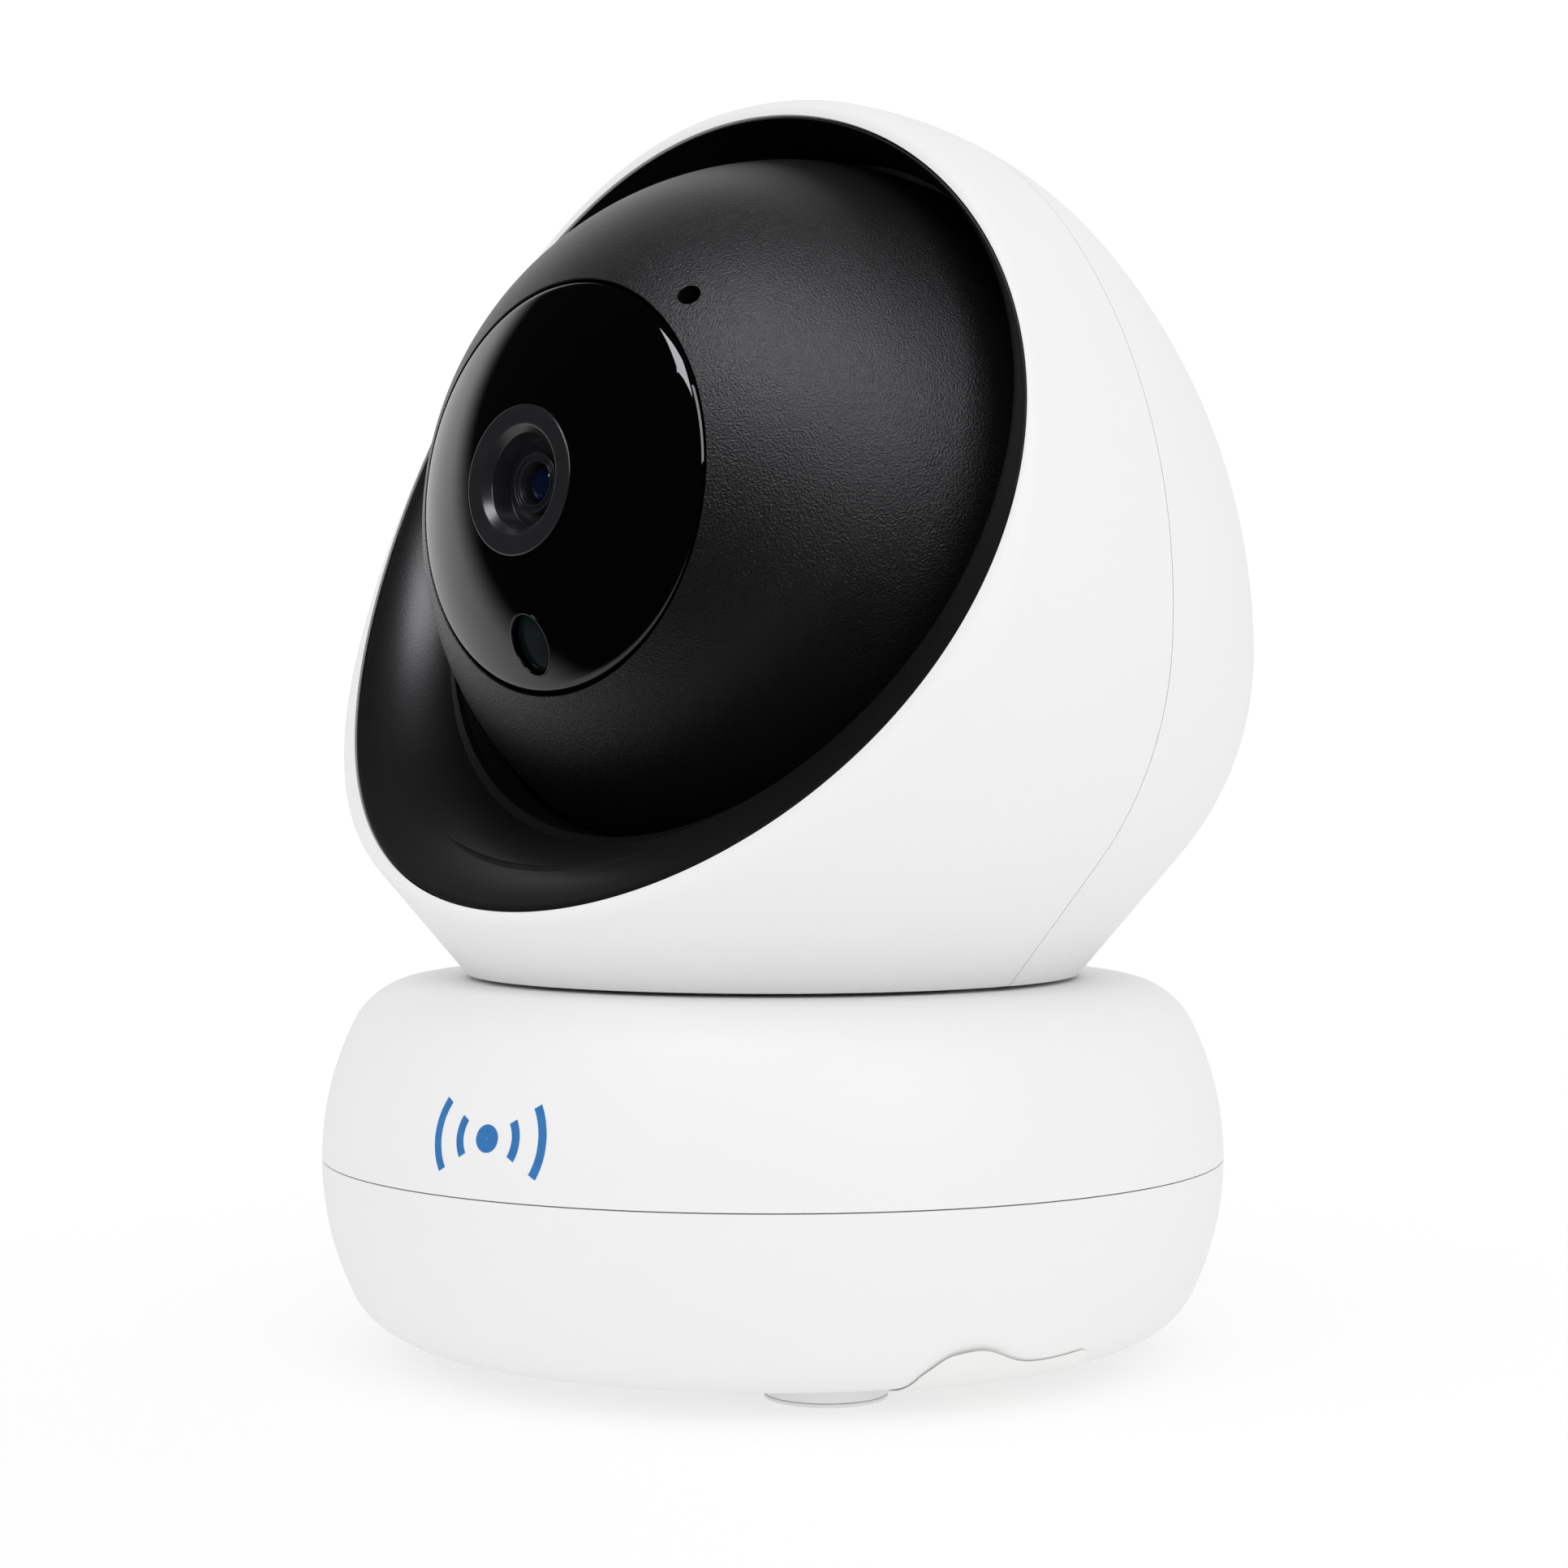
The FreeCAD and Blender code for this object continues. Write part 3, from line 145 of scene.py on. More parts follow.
def make_finishes():
    """One finish for every material slot of the record."""
    made = {
        "white_shell": Finish("satin_white_plastic", linear(239, 239, 239), 0.5,
                              specular_ior_level=0.2)
        .mottle(30, 0.006).wear(18, 0.03).grain(0.35, 0.012),
        "white_pad": Finish("white_pad_rubber", linear(236, 236, 234), 0.6)
        .mottle(4, 0.01).wear(3, 0.04).grain(0.3, 0.02),
        "black_dish": Finish("satin_black_plastic", linear(14, 14, 16), 0.36)
        .mottle(12, 0.1).wear(10, 0.03).grain(0.25, 0.01),
        "black_eye": Finish("spark_black_plastic", linear(9, 8, 10), 0.36)
        .mottle(9, 0.1).wear(8, 0.03).grain(0.2, 0.1, 3),
        "black_cover": Finish("gloss_black_cover", linear(1, 1, 1), 0.035)
        .mottle(15, 0.1).wear(12, 0.01),
        "black_ring": Finish("matt_black_ring", linear(30, 30, 33), 0.26)
        .mottle(3, 0.1).wear(3, 0.05).grain(0.12, 0.006),
        "lens_glass": Finish("coated_lens_glass", linear(6, 14, 34), 0.03,
                             specular_tint=(0.35, 0.6, 1.0, 1), specular_ior_level=1.0)
        .mottle(2, 0.4),
        "window_glass": Finish("green_black_window", linear(9, 17, 19), 0.2,
                               specular_ior_level=0.08)
        .mottle(3, 0.2).wear(3, 0.02),
        "inner_plastic": Finish("black_inner_plastic", linear(34, 34, 36), 0.5)
        .mottle(10, 0.08).wear(8, 0.05).grain(0.4, 0.01),
        "gear_plastic": Finish("milky_acetal", linear(226, 224, 214), 0.38)
        .mottle(6, 0.03).wear(5, 0.05).grain(0.5, 0.005),
        "gear_brass": Finish("turned_brass", linear(201, 160, 84), 0.28, metallic=1.0)
        .mottle(2, 0.08).wear(1.5, 0.06).grain(0.2, 0.004),
        "steel": Finish("zinc_plated_steel", linear(178, 180, 184), 0.32, metallic=1.0)
        .mottle(2, 0.06).wear(2, 0.08).grain(0.3, 0.004),
        "motor_can": Finish("drawn_steel_can", linear(158, 160, 163), 0.3, metallic=1.0)
        .mottle(6, 0.05).wear(4, 0.07).grain(0.25, 0.004, 2, (1, 1, 8)),
        "ballast_steel": Finish("dull_steel_weight", linear(112, 114, 118), 0.5, metallic=1.0)
        .mottle(5, 0.12).wear(5, 0.1).grain(0.6, 0.02),
        "circuit_board": Finish("green_solder_mask", linear(24, 84, 52), 0.35)
        .mottle(4, 0.15).wear(4, 0.05).grain(0.5, 0.008),
        "chip": Finish("black_chip_resin", linear(30, 30, 32), 0.55)
        .mottle(3, 0.1).wear(2, 0.05).grain(0.15, 0.006),
        "socket_metal": Finish("nickel_plate", linear(190, 188, 182), 0.25, metallic=1.0)
        .mottle(3, 0.05).wear(2, 0.06).grain(0.3, 0.003),
        "label_paper": Finish("coated_label_paper", linear(240, 240, 238), 0.5)
        .mottle(5, 0.01).wear(3, 0.05).grain(0.2, 0.01, 4),
        "mark_ink": Finish("blue_print", linear(40, 118, 186), 0.4)
        .mottle(1, 0.06).wear(1, 0.05).grain(0.08, 0.002),
        "copper": Finish("bare_copper", linear(196, 120, 82), 0.3, metallic=1.0)
        .mottle(2, 0.1).wear(2, 0.08).grain(0.2, 0.004),
        "lamp_lens": Finish("dark_lamp_lens", linear(30, 24, 36), 0.1)
        .mottle(2, 0.1).wear(2, 0.02),
        "seal_rubber": Finish("black_seal_rubber", linear(22, 22, 22), 0.7)
        .mottle(2, 0.1).wear(2, 0.05).grain(0.2, 0.01),
    }
    return {slot: finish.material for slot, finish in made.items()}


MATERIALS = make_finishes()


def dress_cad_nodes():
    """Gives every CAD node the finish of its own material slot."""
    for row in frame["record"]["subparts"]:
        node = frame["nodes"][row["node"]]
        node.data.materials.clear()
        node.data.materials.append(MATERIALS[row["material_slot"]])


# ---------------------------------------------------------------- places taken from the frame

def in_mm(point):
    """A place given in metres, in millimetres."""
    return Vector(point) / MM


def middle(node):
    """The middle of a CAD node's box, in millimetres."""
    low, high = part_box(node)
    return in_mm(low + high) / 2


JOINTS = {joint["name"]: joint for joint in frame["joints"]}
BALL = in_mm(JOINTS["tilt"]["pos_m"])
BALL_RADIUS = in_mm(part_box("eye_front_shell")[1]).z - BALL.z
LENS_AXIS = (middle("front_lens") - BALL).normalized()
ACROSS = Vector((1, 0, 0))
LENS_UP = LENS_AXIS.cross(ACROSS)
NECK = in_mm(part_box("head_front_shell")[0]).z
# The visible gap between pieces that meet, and the angle in degrees beyond which an edge is sharp.
GAP = 0.12
CREASE = 32
# How near points are joined and how short edges collapse, in metres.
JOINED, COLLAPSED = 1e-7, 1e-8


# ---------------------------------------------------------------- making meshes

def closed_mesh(name, points, faces):
    """A mesh from points in millimetres, with doubled points joined and faces turned outwards."""
    mesh = bpy.data.meshes.new(name)
    mesh.from_pydata([Vector(point) * MM for point in points], [], faces)
    work = bmesh.new()
    work.from_mesh(mesh)
    bmesh.ops.remove_doubles(work, verts=work.verts, dist=JOINED)
    bmesh.ops.dissolve_degenerate(work, dist=COLLAPSED, edges=work.edges)
    loose = [edge for edge in work.edges if not edge.link_faces]
    bmesh.ops.delete(work, geom=loose, context="EDGES")
    bmesh.ops.recalc_face_normals(work, faces=work.faces)
    work.to_mesh(mesh)
    work.free()
    return mesh


def make_piece(name, points, faces, body, slot, crease=CREASE):
    """A smooth-shaded piece from points in millimetres, riding on a body."""
    mesh = closed_mesh(name, points, faces)
    mesh.shade_smooth()
    mesh.set_sharp_from_angle(angle=radians(crease))
    mesh.materials.append(MATERIALS[slot])
    piece = bpy.data.objects.new(name, mesh)
    bpy.context.scene.collection.objects.link(piece)
    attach(piece, body)
    return piece


def loft(rows, closed_rows=True):
    """Points and faces of a skin over closed rows of equally many points."""
    wide, many = len(rows[0]), len(rows)
    points = [point for row in rows for point in row]
    faces = []
    for row in range(many if closed_rows else many - 1):
        following = (row + 1) % many
        for place in range(wide):
            beside = (place + 1) % wide
            faces.append((row * wide + place, row * wide + beside,
                          following * wide + beside, following * wide + place))
    return points, faces


def turned(profile, centre, axis, steps=144, stretch=(1, 1)):
    """A closed profile of (radius, height) points turned round an axis, with an oval stretch."""
    side = axis.cross(ACROSS).normalized()
    across = side.cross(axis).normalized()
    rows = []
    for step in range(steps):
        turn = 2 * pi * step / steps
        way = across * cos(turn) * stretch[0] + side * sin(turn) * stretch[1]
        rows.append([centre + way * radius + axis * height for radius, height in profile])
    return loft(rows)


def bow(start, corner, end, steps):
    """A smooth bend from start to end, tangent to both sides of a corner."""
    places = [step / steps for step in range(steps + 1)]
    return [start * (1 - t) ** 2 + corner * (2 * t * (1 - t)) + end * t ** 2 for t in places]


def swoop(start, first, second, end, steps):
    """A smooth curve from start to end, drawn towards two corners on its way."""
    places = [step / steps for step in range(steps + 1)]
    return [start * (1 - t) ** 3 + first * (3 * t * (1 - t) ** 2)
            + second * (3 * t * t * (1 - t)) + end * t ** 3 for t in places]


def eased(corners, steps=5):
    """A closed outline of (across, up, radius) corners, each rounded by about its radius."""
    outline = []
    for index, (across, up, radius) in enumerate(corners):
        corner = Vector((across, up))
        if radius == 0:
            outline.append(corner)
            continue
        before = Vector(corners[index - 1][:2]) - corner
        after = Vector(corners[(index + 1) % len(corners)][:2]) - corner
        reach = [min(radius, side.length * 0.49) for side in (before, after)]
        outline += bow(corner + before.normalized() * reach[0], corner,
                       corner + after.normalized() * reach[1], steps)
    return [tuple(point) for point in outline]


def on_sphere(radius, polar):
    """A (radius from the axis, height along it) place on a sphere."""
    return radius * sin(radians(polar)), radius * cos(radians(polar))


def polar_at(radius, out):
    """The angle from the axis at which a sphere is this far out from it."""
    return degrees(asin(out / radius))


def sphere_arc(radius, start, end, step=1.2):
    """Places on a sphere from one angle off the axis to another, about a step apart in degrees."""
    count = max(2, round(abs(end - start) / step))
    return [on_sphere(radius, start + (end - start) * place / count) for place in range(count + 1)]


def carve(piece, points, faces):
    """Cuts a closed shape, given in millimetres, out of a piece's own mesh."""
    cutter = bpy.data.objects.new("cutter", closed_mesh("cutter", points, faces))
    bpy.context.scene.collection.objects.link(cutter)
    modifier = piece.modifiers.new("carve", "BOOLEAN")
    modifier.operation, modifier.object, modifier.solver = "DIFFERENCE", cutter, "MANIFOLD"
    bpy.context.view_layer.update()
    graph = bpy.context.evaluated_depsgraph_get()
    carved = bpy.data.meshes.new_from_object(piece.evaluated_get(graph))
    piece.modifiers.clear()
    old = piece.data
    piece.data = carved
    bpy.data.meshes.remove(old)
    bpy.data.objects.remove(cutter)
    carved.shade_smooth()
    carved.set_sharp_from_angle(angle=radians(CREASE))


def drum(centre, axis, radius, low, high, steps=48, stretch=(1, 1)):
    """A closed cylinder as points and faces, for cutting."""
    profile = [(0, low), (radius, low), (radius, high), (0, high)]
    return turned(profile, centre, axis, steps, stretch)


# ---------------------------------------------------------------- the head's front shell and dish

# The head's outline is three arcs and a straight neck, turned about the pan axis.
CROWN_ARC, SHOULDER_ARC, LOWER_ARC = 42.0, 62.5, 30.8
SHOULDER_TURN, LOWER_TURN = radians(39.6), radians(40.0)
HEAD_RADIUS = in_mm(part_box("head_front_shell")[1]).x
HEAD_TOP = in_mm(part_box("head_front_shell")[1]).z
HEAD_MIDDLE = HEAD_TOP - CROWN_ARC - (SHOULDER_ARC - CROWN_ARC) * sin(SHOULDER_TURN)
# Farther from the head's heart than any of its skin.
HEAD_FAR = 120
WALL = 2.2
SEAM_PLACE, SEAM_LEAN = 0.5, 0.082
# The rounded lip of the front shell, and how far inside it the wall's inner face starts.
LIP_LEAST, LIP_ROUNDING, LIP_DEPTH, LIP_TAPER, LIP_INSIDE = 0.9, 1.35, 1.4, 0.15, 4.5
# The opening is an oval in a leaning plane, with its top and bottom bent forwards.
RIM_CENTRE = Vector((0, -14.2, 81.3))
RIM_LEAN = radians(22.2)
RIM_OUT = Vector((0, -cos(RIM_LEAN), sin(RIM_LEAN)))
RIM_UP = Vector((0, sin(RIM_LEAN), cos(RIM_LEAN)))
RIM_ACROSS, RIM_TALL, RIM_BEND = 43.4, 42.0, 145.4
# The dish runs from the opening's edge to a round hole just clear of the eyeball.
DISH_LEAN = radians(20)
DISH_HOLE, DISH_HOLE_DEPTH = 36.2, 8.8
# How far the dish's face lies below the edge, the width of its rounded brim, and its thickness.
DISH_SUNK, DISH_EDGE, DISH_SKIN = 0.12, 0.22, 1.2
# Shares of the way across and deep at which the dish's flat band and its bowl are steered.
BAND_ACROSS, BAND_DEEP = 0.50, 0.10
BOWL_ACROSS, BOWL_DEEP = 0.20, 0.42


def head_reach(height, inset=0.0):
    """The head's distance from the pan axis at a height, or less than zero above the crown."""
    shoulder_axis = HEAD_RADIUS - SHOULDER_ARC
    crown_axis = shoulder_axis + (SHOULDER_ARC - CROWN_ARC) * cos(SHOULDER_TURN)
    crown_height = HEAD_MIDDLE + (SHOULDER_ARC - CROWN_ARC) * sin(SHOULDER_TURN)
    rise = height - HEAD_MIDDLE
    if rise > (SHOULDER_ARC - inset) * sin(SHOULDER_TURN):
        left = (CROWN_ARC - inset) ** 2 - (height - crown_height) ** 2
        return crown_axis + sqrt(left) if left > 0 else -1.0
    if rise > 0:
        return shoulder_axis + sqrt((SHOULDER_ARC - inset) ** 2 - rise ** 2)
    lower = LOWER_ARC - inset
    if rise > -lower * sin(LOWER_TURN):
        return HEAD_RADIUS - LOWER_ARC + sqrt(lower ** 2 - rise ** 2)
    drop = -rise - lower * sin(LOWER_TURN)
    return HEAD_RADIUS - LOWER_ARC + lower * cos(LOWER_TURN) - drop * tan(LOWER_TURN)


def halve(low, high, is_low, steps=32):
    """The place between low and high where is_low stops being true."""
    for _ in range(steps):
        between = (low + high) / 2
        low, high = (between, high) if is_low(between) else (low, between)
    return low


def outside_head(point, inset=0.0):
    """Whether a place lies outside the head's skin, or outside a skin set in from it."""
    return hypot(point.x, point.y) > head_reach(point.z, inset)


HEAD_HEART = RIM_CENTRE - RIM_OUT * (RIM_CENTRE - BALL).dot(RIM_OUT)


def spoke(turn):
    """The way outwards from the opening's middle at a turn, in its own plane."""
    return ACROSS * cos(turn) + RIM_UP * sin(turn)


def on_head(turn, swing, inset=0.0):
    """The place on the head's skin seen from its heart, a swing away from the opening's axis."""
    way = RIM_OUT * cos(swing) + spoke(turn) * sin(swing)
    reach = halve(0, HEAD_FAR, lambda far: not outside_head(HEAD_HEART + way * far, inset))
    return HEAD_HEART + way * reach


def on_front(turn, radius):
    """The place on the opening's bent face at a turn and a distance from its middle."""
    up = radius * sin(turn)
    return RIM_CENTRE + spoke(turn) * radius + RIM_OUT * (RIM_BEND - sqrt(RIM_BEND ** 2 - up ** 2))


def rim_radius(turn):
    """The distance of the black dish's edge from the opening's middle."""
    return 1 / hypot(cos(turn) / RIM_ACROSS, sin(turn) / RIM_TALL)


def swing_of(point):
    """The angle between the opening's axis and the way from the head's heart to a place."""
    offset = point - HEAD_HEART
    along = offset.dot(RIM_OUT)
    return atan2((offset - RIM_OUT * along).length, along)


def behind_seam(point):
    """Whether a place belongs to the rear shell."""
    return point.y > SEAM_PLACE + SEAM_LEAN * (point.z - NECK) - GAP / 2


def border_swing(turn, inset=0.0):
    """The swing at which the front shell ends, at the seam or at the neck."""
    def inside(swing):
        point = on_head(turn, swing, inset)
        return not behind_seam(point) and point.z > NECK
    return halve(radians(30), radians(175), inside, 22)


def ends_at_neck(turn):
    """Whether the front shell ends at the neck, not at the seam, at this turn."""
    return abs(on_head(turn, border_swing(turn)).z - NECK) < 0.02


def front_turns(count):
    """Turns round the opening, with one at each corner where the seam meets the neck."""
    corner = halve(-pi / 2, 0, ends_at_neck, 20)
    turns = [2 * pi * step / count for step in range(count)]
    return sorted(turns + [corner % (2 * pi), (pi - corner) % (2 * pi)])


FRONT_TURNS = front_turns(240)


def front_section(turn, skin_steps=30):
    """One slice of the front shell: out over the lip and back along the skin, home inside."""
    edge = on_front(turn, rim_radius(turn) + GAP / 2)
    corner_radius = halve(rim_radius(turn), 60, lambda far: not outside_head(on_front(turn, far)))
    corner = on_front(turn, corner_radius)
    corner_swing = swing_of(corner)
    reach = (corner - HEAD_HEART).length
    lip_width = max(corner_radius - rim_radius(turn), LIP_LEAST)
    start = corner_swing + lip_width * LIP_ROUNDING / reach
    end = border_swing(turn)
    outer = [on_head(turn, start + (end - start) * step / skin_steps)
             for step in range(skin_steps + 1)]
    lip = bow(edge, corner, outer[0], 9)[:-1]
    inner_start, inner_end = corner_swing + LIP_INSIDE / reach, border_swing(turn, WALL)
    inner = [on_head(turn, inner_end + (inner_start - inner_end) * step / skin_steps, WALL)
             for step in range(skin_steps + 1)]
    sunk = edge - RIM_OUT * LIP_DEPTH + spoke(turn) * LIP_TAPER
    return [sunk] + lip + outer + inner


def make_head_front():
    """The white front shell, a ring round the opening with a rounded lip."""
    points, faces = loft([front_section(turn) for turn in FRONT_TURNS])
    shell = make_piece("front_shell", points, faces, "head", "white_shell", 40)
    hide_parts("head_front_shell")


def dish_section(turn):
    """One slice of the dish: a nearly flat band inside the lip, then a steep bowl to the hole."""
    out = Vector((0, -cos(DISH_LEAN), sin(DISH_LEAN)))
    up = Vector((0, sin(DISH_LEAN), cos(DISH_LEAN)))
    edge = on_front(turn, rim_radius(turn) - GAP / 2) - RIM_OUT * DISH_SUNK
    way = ACROSS * cos(turn) + up * sin(turn)
    hole = BALL + out * DISH_HOLE_DEPTH + way * DISH_HOLE
    across = (edge - hole).dot(spoke(turn))
    deep = (edge - hole).dot(RIM_OUT)
    band = edge - spoke(turn) * across * BAND_ACROSS - RIM_OUT * deep * BAND_DEEP
    wall = hole + spoke(turn) * across * BOWL_ACROSS + RIM_OUT * deep * BOWL_DEEP
    face = swoop(edge, band, wall, hole, 24)
    face[0] = edge - spoke(turn) * DISH_EDGE
    brim = [edge - RIM_OUT * 1.0, edge - RIM_OUT * 0.16,
            edge - spoke(turn) * 0.05 - RIM_OUT * 0.04]
    lip = [hole - RIM_OUT * 0.35 + way * 0.12, hole - RIM_OUT * 0.5 + way * 0.6]
    back = [hole + way * DISH_SKIN + RIM_OUT * deep * 0.3 - RIM_OUT * 0.2,
            wall + spoke(turn) * 1.3 - RIM_OUT * 0.3,
            band + spoke(turn) * 0.8 - RIM_OUT * DISH_SKIN]
    return brim + face + lip + back


def make_dish():
    """The black dish between the lip and the eyeball."""
    turns = [2 * pi * step / 256 for step in range(256)]
    points, faces = loft([dish_section(turn) for turn in turns])
    dish = make_piece("dish", points, faces, "head", "black_dish", 35)
    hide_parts("dish_bezel")


# ---------------------------------------------------------------- the eyeball

EYE_WALL, EYE_SPLIT, EYE_ROUND = 1.8, -6.0, 0.22
# The seat is the ledge that the cover sits on, in a shallow round pocket of the ball.
SEAT_LEDGE, SEAT_DEPTH, SEAT_WALL = 2.1, 1.5, 1.32
# Cutters reach from inside the ball's wall to outside its skin.
FROM_INSIDE, FROM_OUTSIDE = 30, 40
COVER_RADIUS, COVER_GAP, COVER_EDGE, COVER_WALL = 19.5, 0.2, 0.75, 1.5
# The ring, the barrel and the lens, with heights along the lens axis from the ball's centre.
RING_RADIUS, RING_FACE, RING_BORE, RING_CONE, RING_DEPTH = 7.15, 36.12, 5.3, 4.5, 3.0
BARREL_DEPTH, BARREL_RADIUS = 2.05, 2.95
LENS_RADIUS, LENS_BULGE, LENS_SUNK = 2.0, 2.3, 0.42
# Places on the ball: degrees from the lens axis, and degrees round it from its top.
MIC_POLAR, MIC_CLOCK, MIC_RADIUS = 37.6, 40.0, 1.1
WINDOW_POLAR, WINDOW_CLOCK = 24.4, 180
WINDOW_ACROSS, WINDOW_TALL = 2.4, 3.0
WINDOW_RIM, WINDOW_RIM_SUNK, WINDOW_DEPTH = 0.22, 0.06, 0.75


def eye_way(polar, clock):
    """A way out of the eyeball, from the lens axis by polar and round from its top by clock."""
    polar, clock = radians(polar), radians(clock)
    return LENS_AXIS * cos(polar) + (LENS_UP * cos(clock) + ACROSS * sin(clock)) * sin(polar)


def make_eye_front():
    """The front of the eyeball, with a seat for the cover and a hole for the microphone."""
    hole = polar_at(BALL_RADIUS, COVER_RADIUS + COVER_GAP)
    split = degrees(acos((EYE_SPLIT + GAP / 2) / BALL_RADIUS))
    inner = BALL_RADIUS - EYE_WALL
    inner_hole = polar_at(inner, COVER_RADIUS - SEAT_LEDGE)
    inner_split = degrees(acos((EYE_SPLIT + GAP / 2) / inner))
    seat = on_sphere(BALL_RADIUS, hole)[1] - SEAT_DEPTH
    profile = [(COVER_RADIUS - SEAT_LEDGE, seat), (COVER_RADIUS + COVER_GAP, seat),
               (COVER_RADIUS + COVER_GAP, seat + SEAT_WALL)]
    profile += sphere_arc(BALL_RADIUS, hole + EYE_ROUND, split - 0.12)
    profile += [(on_sphere(BALL_RADIUS, split)[0] - 0.08, EYE_SPLIT + GAP / 2)]
    profile += sphere_arc(inner, inner_split, inner_hole, 4)
    points, faces = turned(profile, BALL, LENS_AXIS, 180)
    shell = make_piece("eye_front", points, faces, "eye", "black_eye")
    way = eye_way(MIC_POLAR, MIC_CLOCK)
    carve(shell, *drum(BALL, way, MIC_RADIUS, FROM_INSIDE, FROM_OUTSIDE))
    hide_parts("eye_front_shell")


def make_cover():
    """The glossy cover that follows the ball, with holes for the lens ring and the window."""
    shoulder = polar_at(BALL_RADIUS, COVER_RADIUS - COVER_EDGE)
    bore = RING_RADIUS + 0.1
    inner = BALL_RADIUS - COVER_WALL
    outer = [Vector(place)
             for place in sphere_arc(BALL_RADIUS, polar_at(BALL_RADIUS, bore), shoulder, 0.8)]
    tangent = Vector((cos(radians(shoulder)), -sin(radians(shoulder))))
    corner = outer[-1] + tangent * (COVER_EDGE / tangent.x)
    foot = Vector((COVER_RADIUS, corner.y - COVER_EDGE * 0.7))
    edge = bow(outer[-1], corner, foot, 8)[1:]
    profile = [tuple(place) for place in outer + edge] + [(COVER_RADIUS, foot.y - 0.5)]
    profile += sphere_arc(inner, polar_at(inner, COVER_RADIUS - 0.3), polar_at(inner, bore), 3)
    points, faces = turned(profile, BALL, LENS_AXIS, 180)
    cover = make_piece("cover", points, faces, "eye", "black_cover")
    way = eye_way(WINDOW_POLAR, WINDOW_CLOCK)
    carve(cover, *drum(BALL, way, 1.0, FROM_INSIDE, FROM_OUTSIDE, 64,
                       (WINDOW_ACROSS + WINDOW_RIM, WINDOW_TALL + WINDOW_RIM)))
    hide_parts("lens_cover")
    make_window(way)


def make_window(way):
    """The dark oval glass over the light sensor, sunk in a rounded rim."""
    top = BALL_RADIUS - WINDOW_RIM_SUNK
    rim = eased([(-0.06, top, 0.12), (0.24, top - 0.02, 0.1),
                 (0.24, top - 1.3, 0), (0.04, top - 1.3, 0)], 4)
    side = way.cross(ACROSS).normalized()
    oval = []
    steps = 72
    for step in range(steps):
        turn = 2 * pi * step / steps
        out = ACROSS * cos(turn) * WINDOW_ACROSS + side * sin(turn) * WINDOW_TALL
        grow = out.normalized()
        oval.append([BALL + out + grow * across + way * height for across, height in rim])
    points, faces = loft(oval)
    make_piece("window_rim", points, faces, "eye", "black_cover")
    depth = top - WINDOW_DEPTH
    dome = [(0, depth + 0.04), (0.4, depth + 0.035), (0.8, depth + 0.02), (0.94, depth - 0.01),
            (0.99, depth - 0.08), (0.99, depth - 0.8), (0, depth - 0.8)]
    points, faces = turned(dome, BALL, way, 64, (WINDOW_ACROSS, WINDOW_TALL))
    glass = make_piece("window_glass", points, faces, "eye", "window_glass")
    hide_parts("light_sensor_window")


def make_lens():
    """The ring round the lens, the barrel at the foot of its cone, and the lens itself."""
    face, barrel = RING_FACE, RING_FACE - BARREL_DEPTH
    floor = face - RING_DEPTH
    ring = eased([(RING_RADIUS, floor - 1.0, 0), (RING_RADIUS, face, 0.3),
                  (RING_BORE, face, 0.22), (RING_CONE, face - 0.85, 0.12),
                  (RING_CONE, face - 1.1, 0.05),
                  (RING_CONE - 0.22, floor, 0.1), (BARREL_RADIUS - 0.5, floor, 0),
                  (BARREL_RADIUS - 0.5, floor - 1.0, 0)])
    piece = make_piece("lens_surround", *turned(ring, BALL, LENS_AXIS), "eye", "black_ring")
    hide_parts("lens_ring")
    tube = eased([(BARREL_RADIUS, floor - 0.6, 0), (BARREL_RADIUS, barrel, 0.12),
                  (BARREL_RADIUS - 0.26, barrel, 0.06),
                  (BARREL_RADIUS - 0.32, barrel - 0.3, 0.05),
                  (LENS_RADIUS + 0.32, barrel - 0.3, 0.05),
                  (LENS_RADIUS + 0.26, barrel - 0.08, 0.08),
                  (LENS_RADIUS + 0.08, barrel - 0.1, 0.06),
                  (LENS_RADIUS - 0.06, barrel - 0.75, 0.05),
                  (LENS_RADIUS - 0.06, floor - 0.6, 0)])
    piece = make_piece("lens_tube", *turned(tube, BALL, LENS_AXIS), "eye", "black_ring")
    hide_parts("lens_barrel")
    centre = barrel - LENS_SUNK - LENS_BULGE
    lens_edge = LENS_RADIUS * 0.98
    edge = polar_at(LENS_BULGE, lens_edge)
    dome = [(radius, height + centre) for radius, height in sphere_arc(LENS_BULGE, 0, edge, 3)]
    dome += [(lens_edge, floor - 0.6), (0, floor - 0.6)]
    piece = make_piece("lens_dome", *turned(dome, BALL, LENS_AXIS, 72), "eye", "lens_glass")
    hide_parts("front_lens")


# ---------------------------------------------------------------- the base

def skin_of(node):
    """A search tree over a CAD node's own skin, in millimetres."""
    mesh = frame["nodes"][node].data
    points = [in_mm(vertex.co) for vertex in mesh.vertices]
    return BVHTree.FromPolygons(points, [tuple(face.vertices) for face in mesh.polygons])


# The label lies along a line outwards from the pan axis. Its front edge curls off at one place.
LABEL_TURN = radians(-13.0)
LABEL_HALF_WIDTH, LABEL_BACK, LABEL_FRONT = 9.6, -17.0, 41.2
LABEL_CURL_PLACE, LABEL_CURL_WIDTH, LABEL_CURL = -4.8, 4.4, 2.3
LABEL_THICKNESS, LABEL_LIFT = 0.1, 0.08
LABEL_CORNER, LABEL_CORNER_SHARE, LABEL_CURL_SHARE, LABEL_CURL_LIFT = 2.2, 0.8, 0.93, 0.14
LABEL_BESIDE_FOOT, LABEL_FOOT_PASSED, LABEL_FOOT_BEND = 2.8, 30.5, 3.5
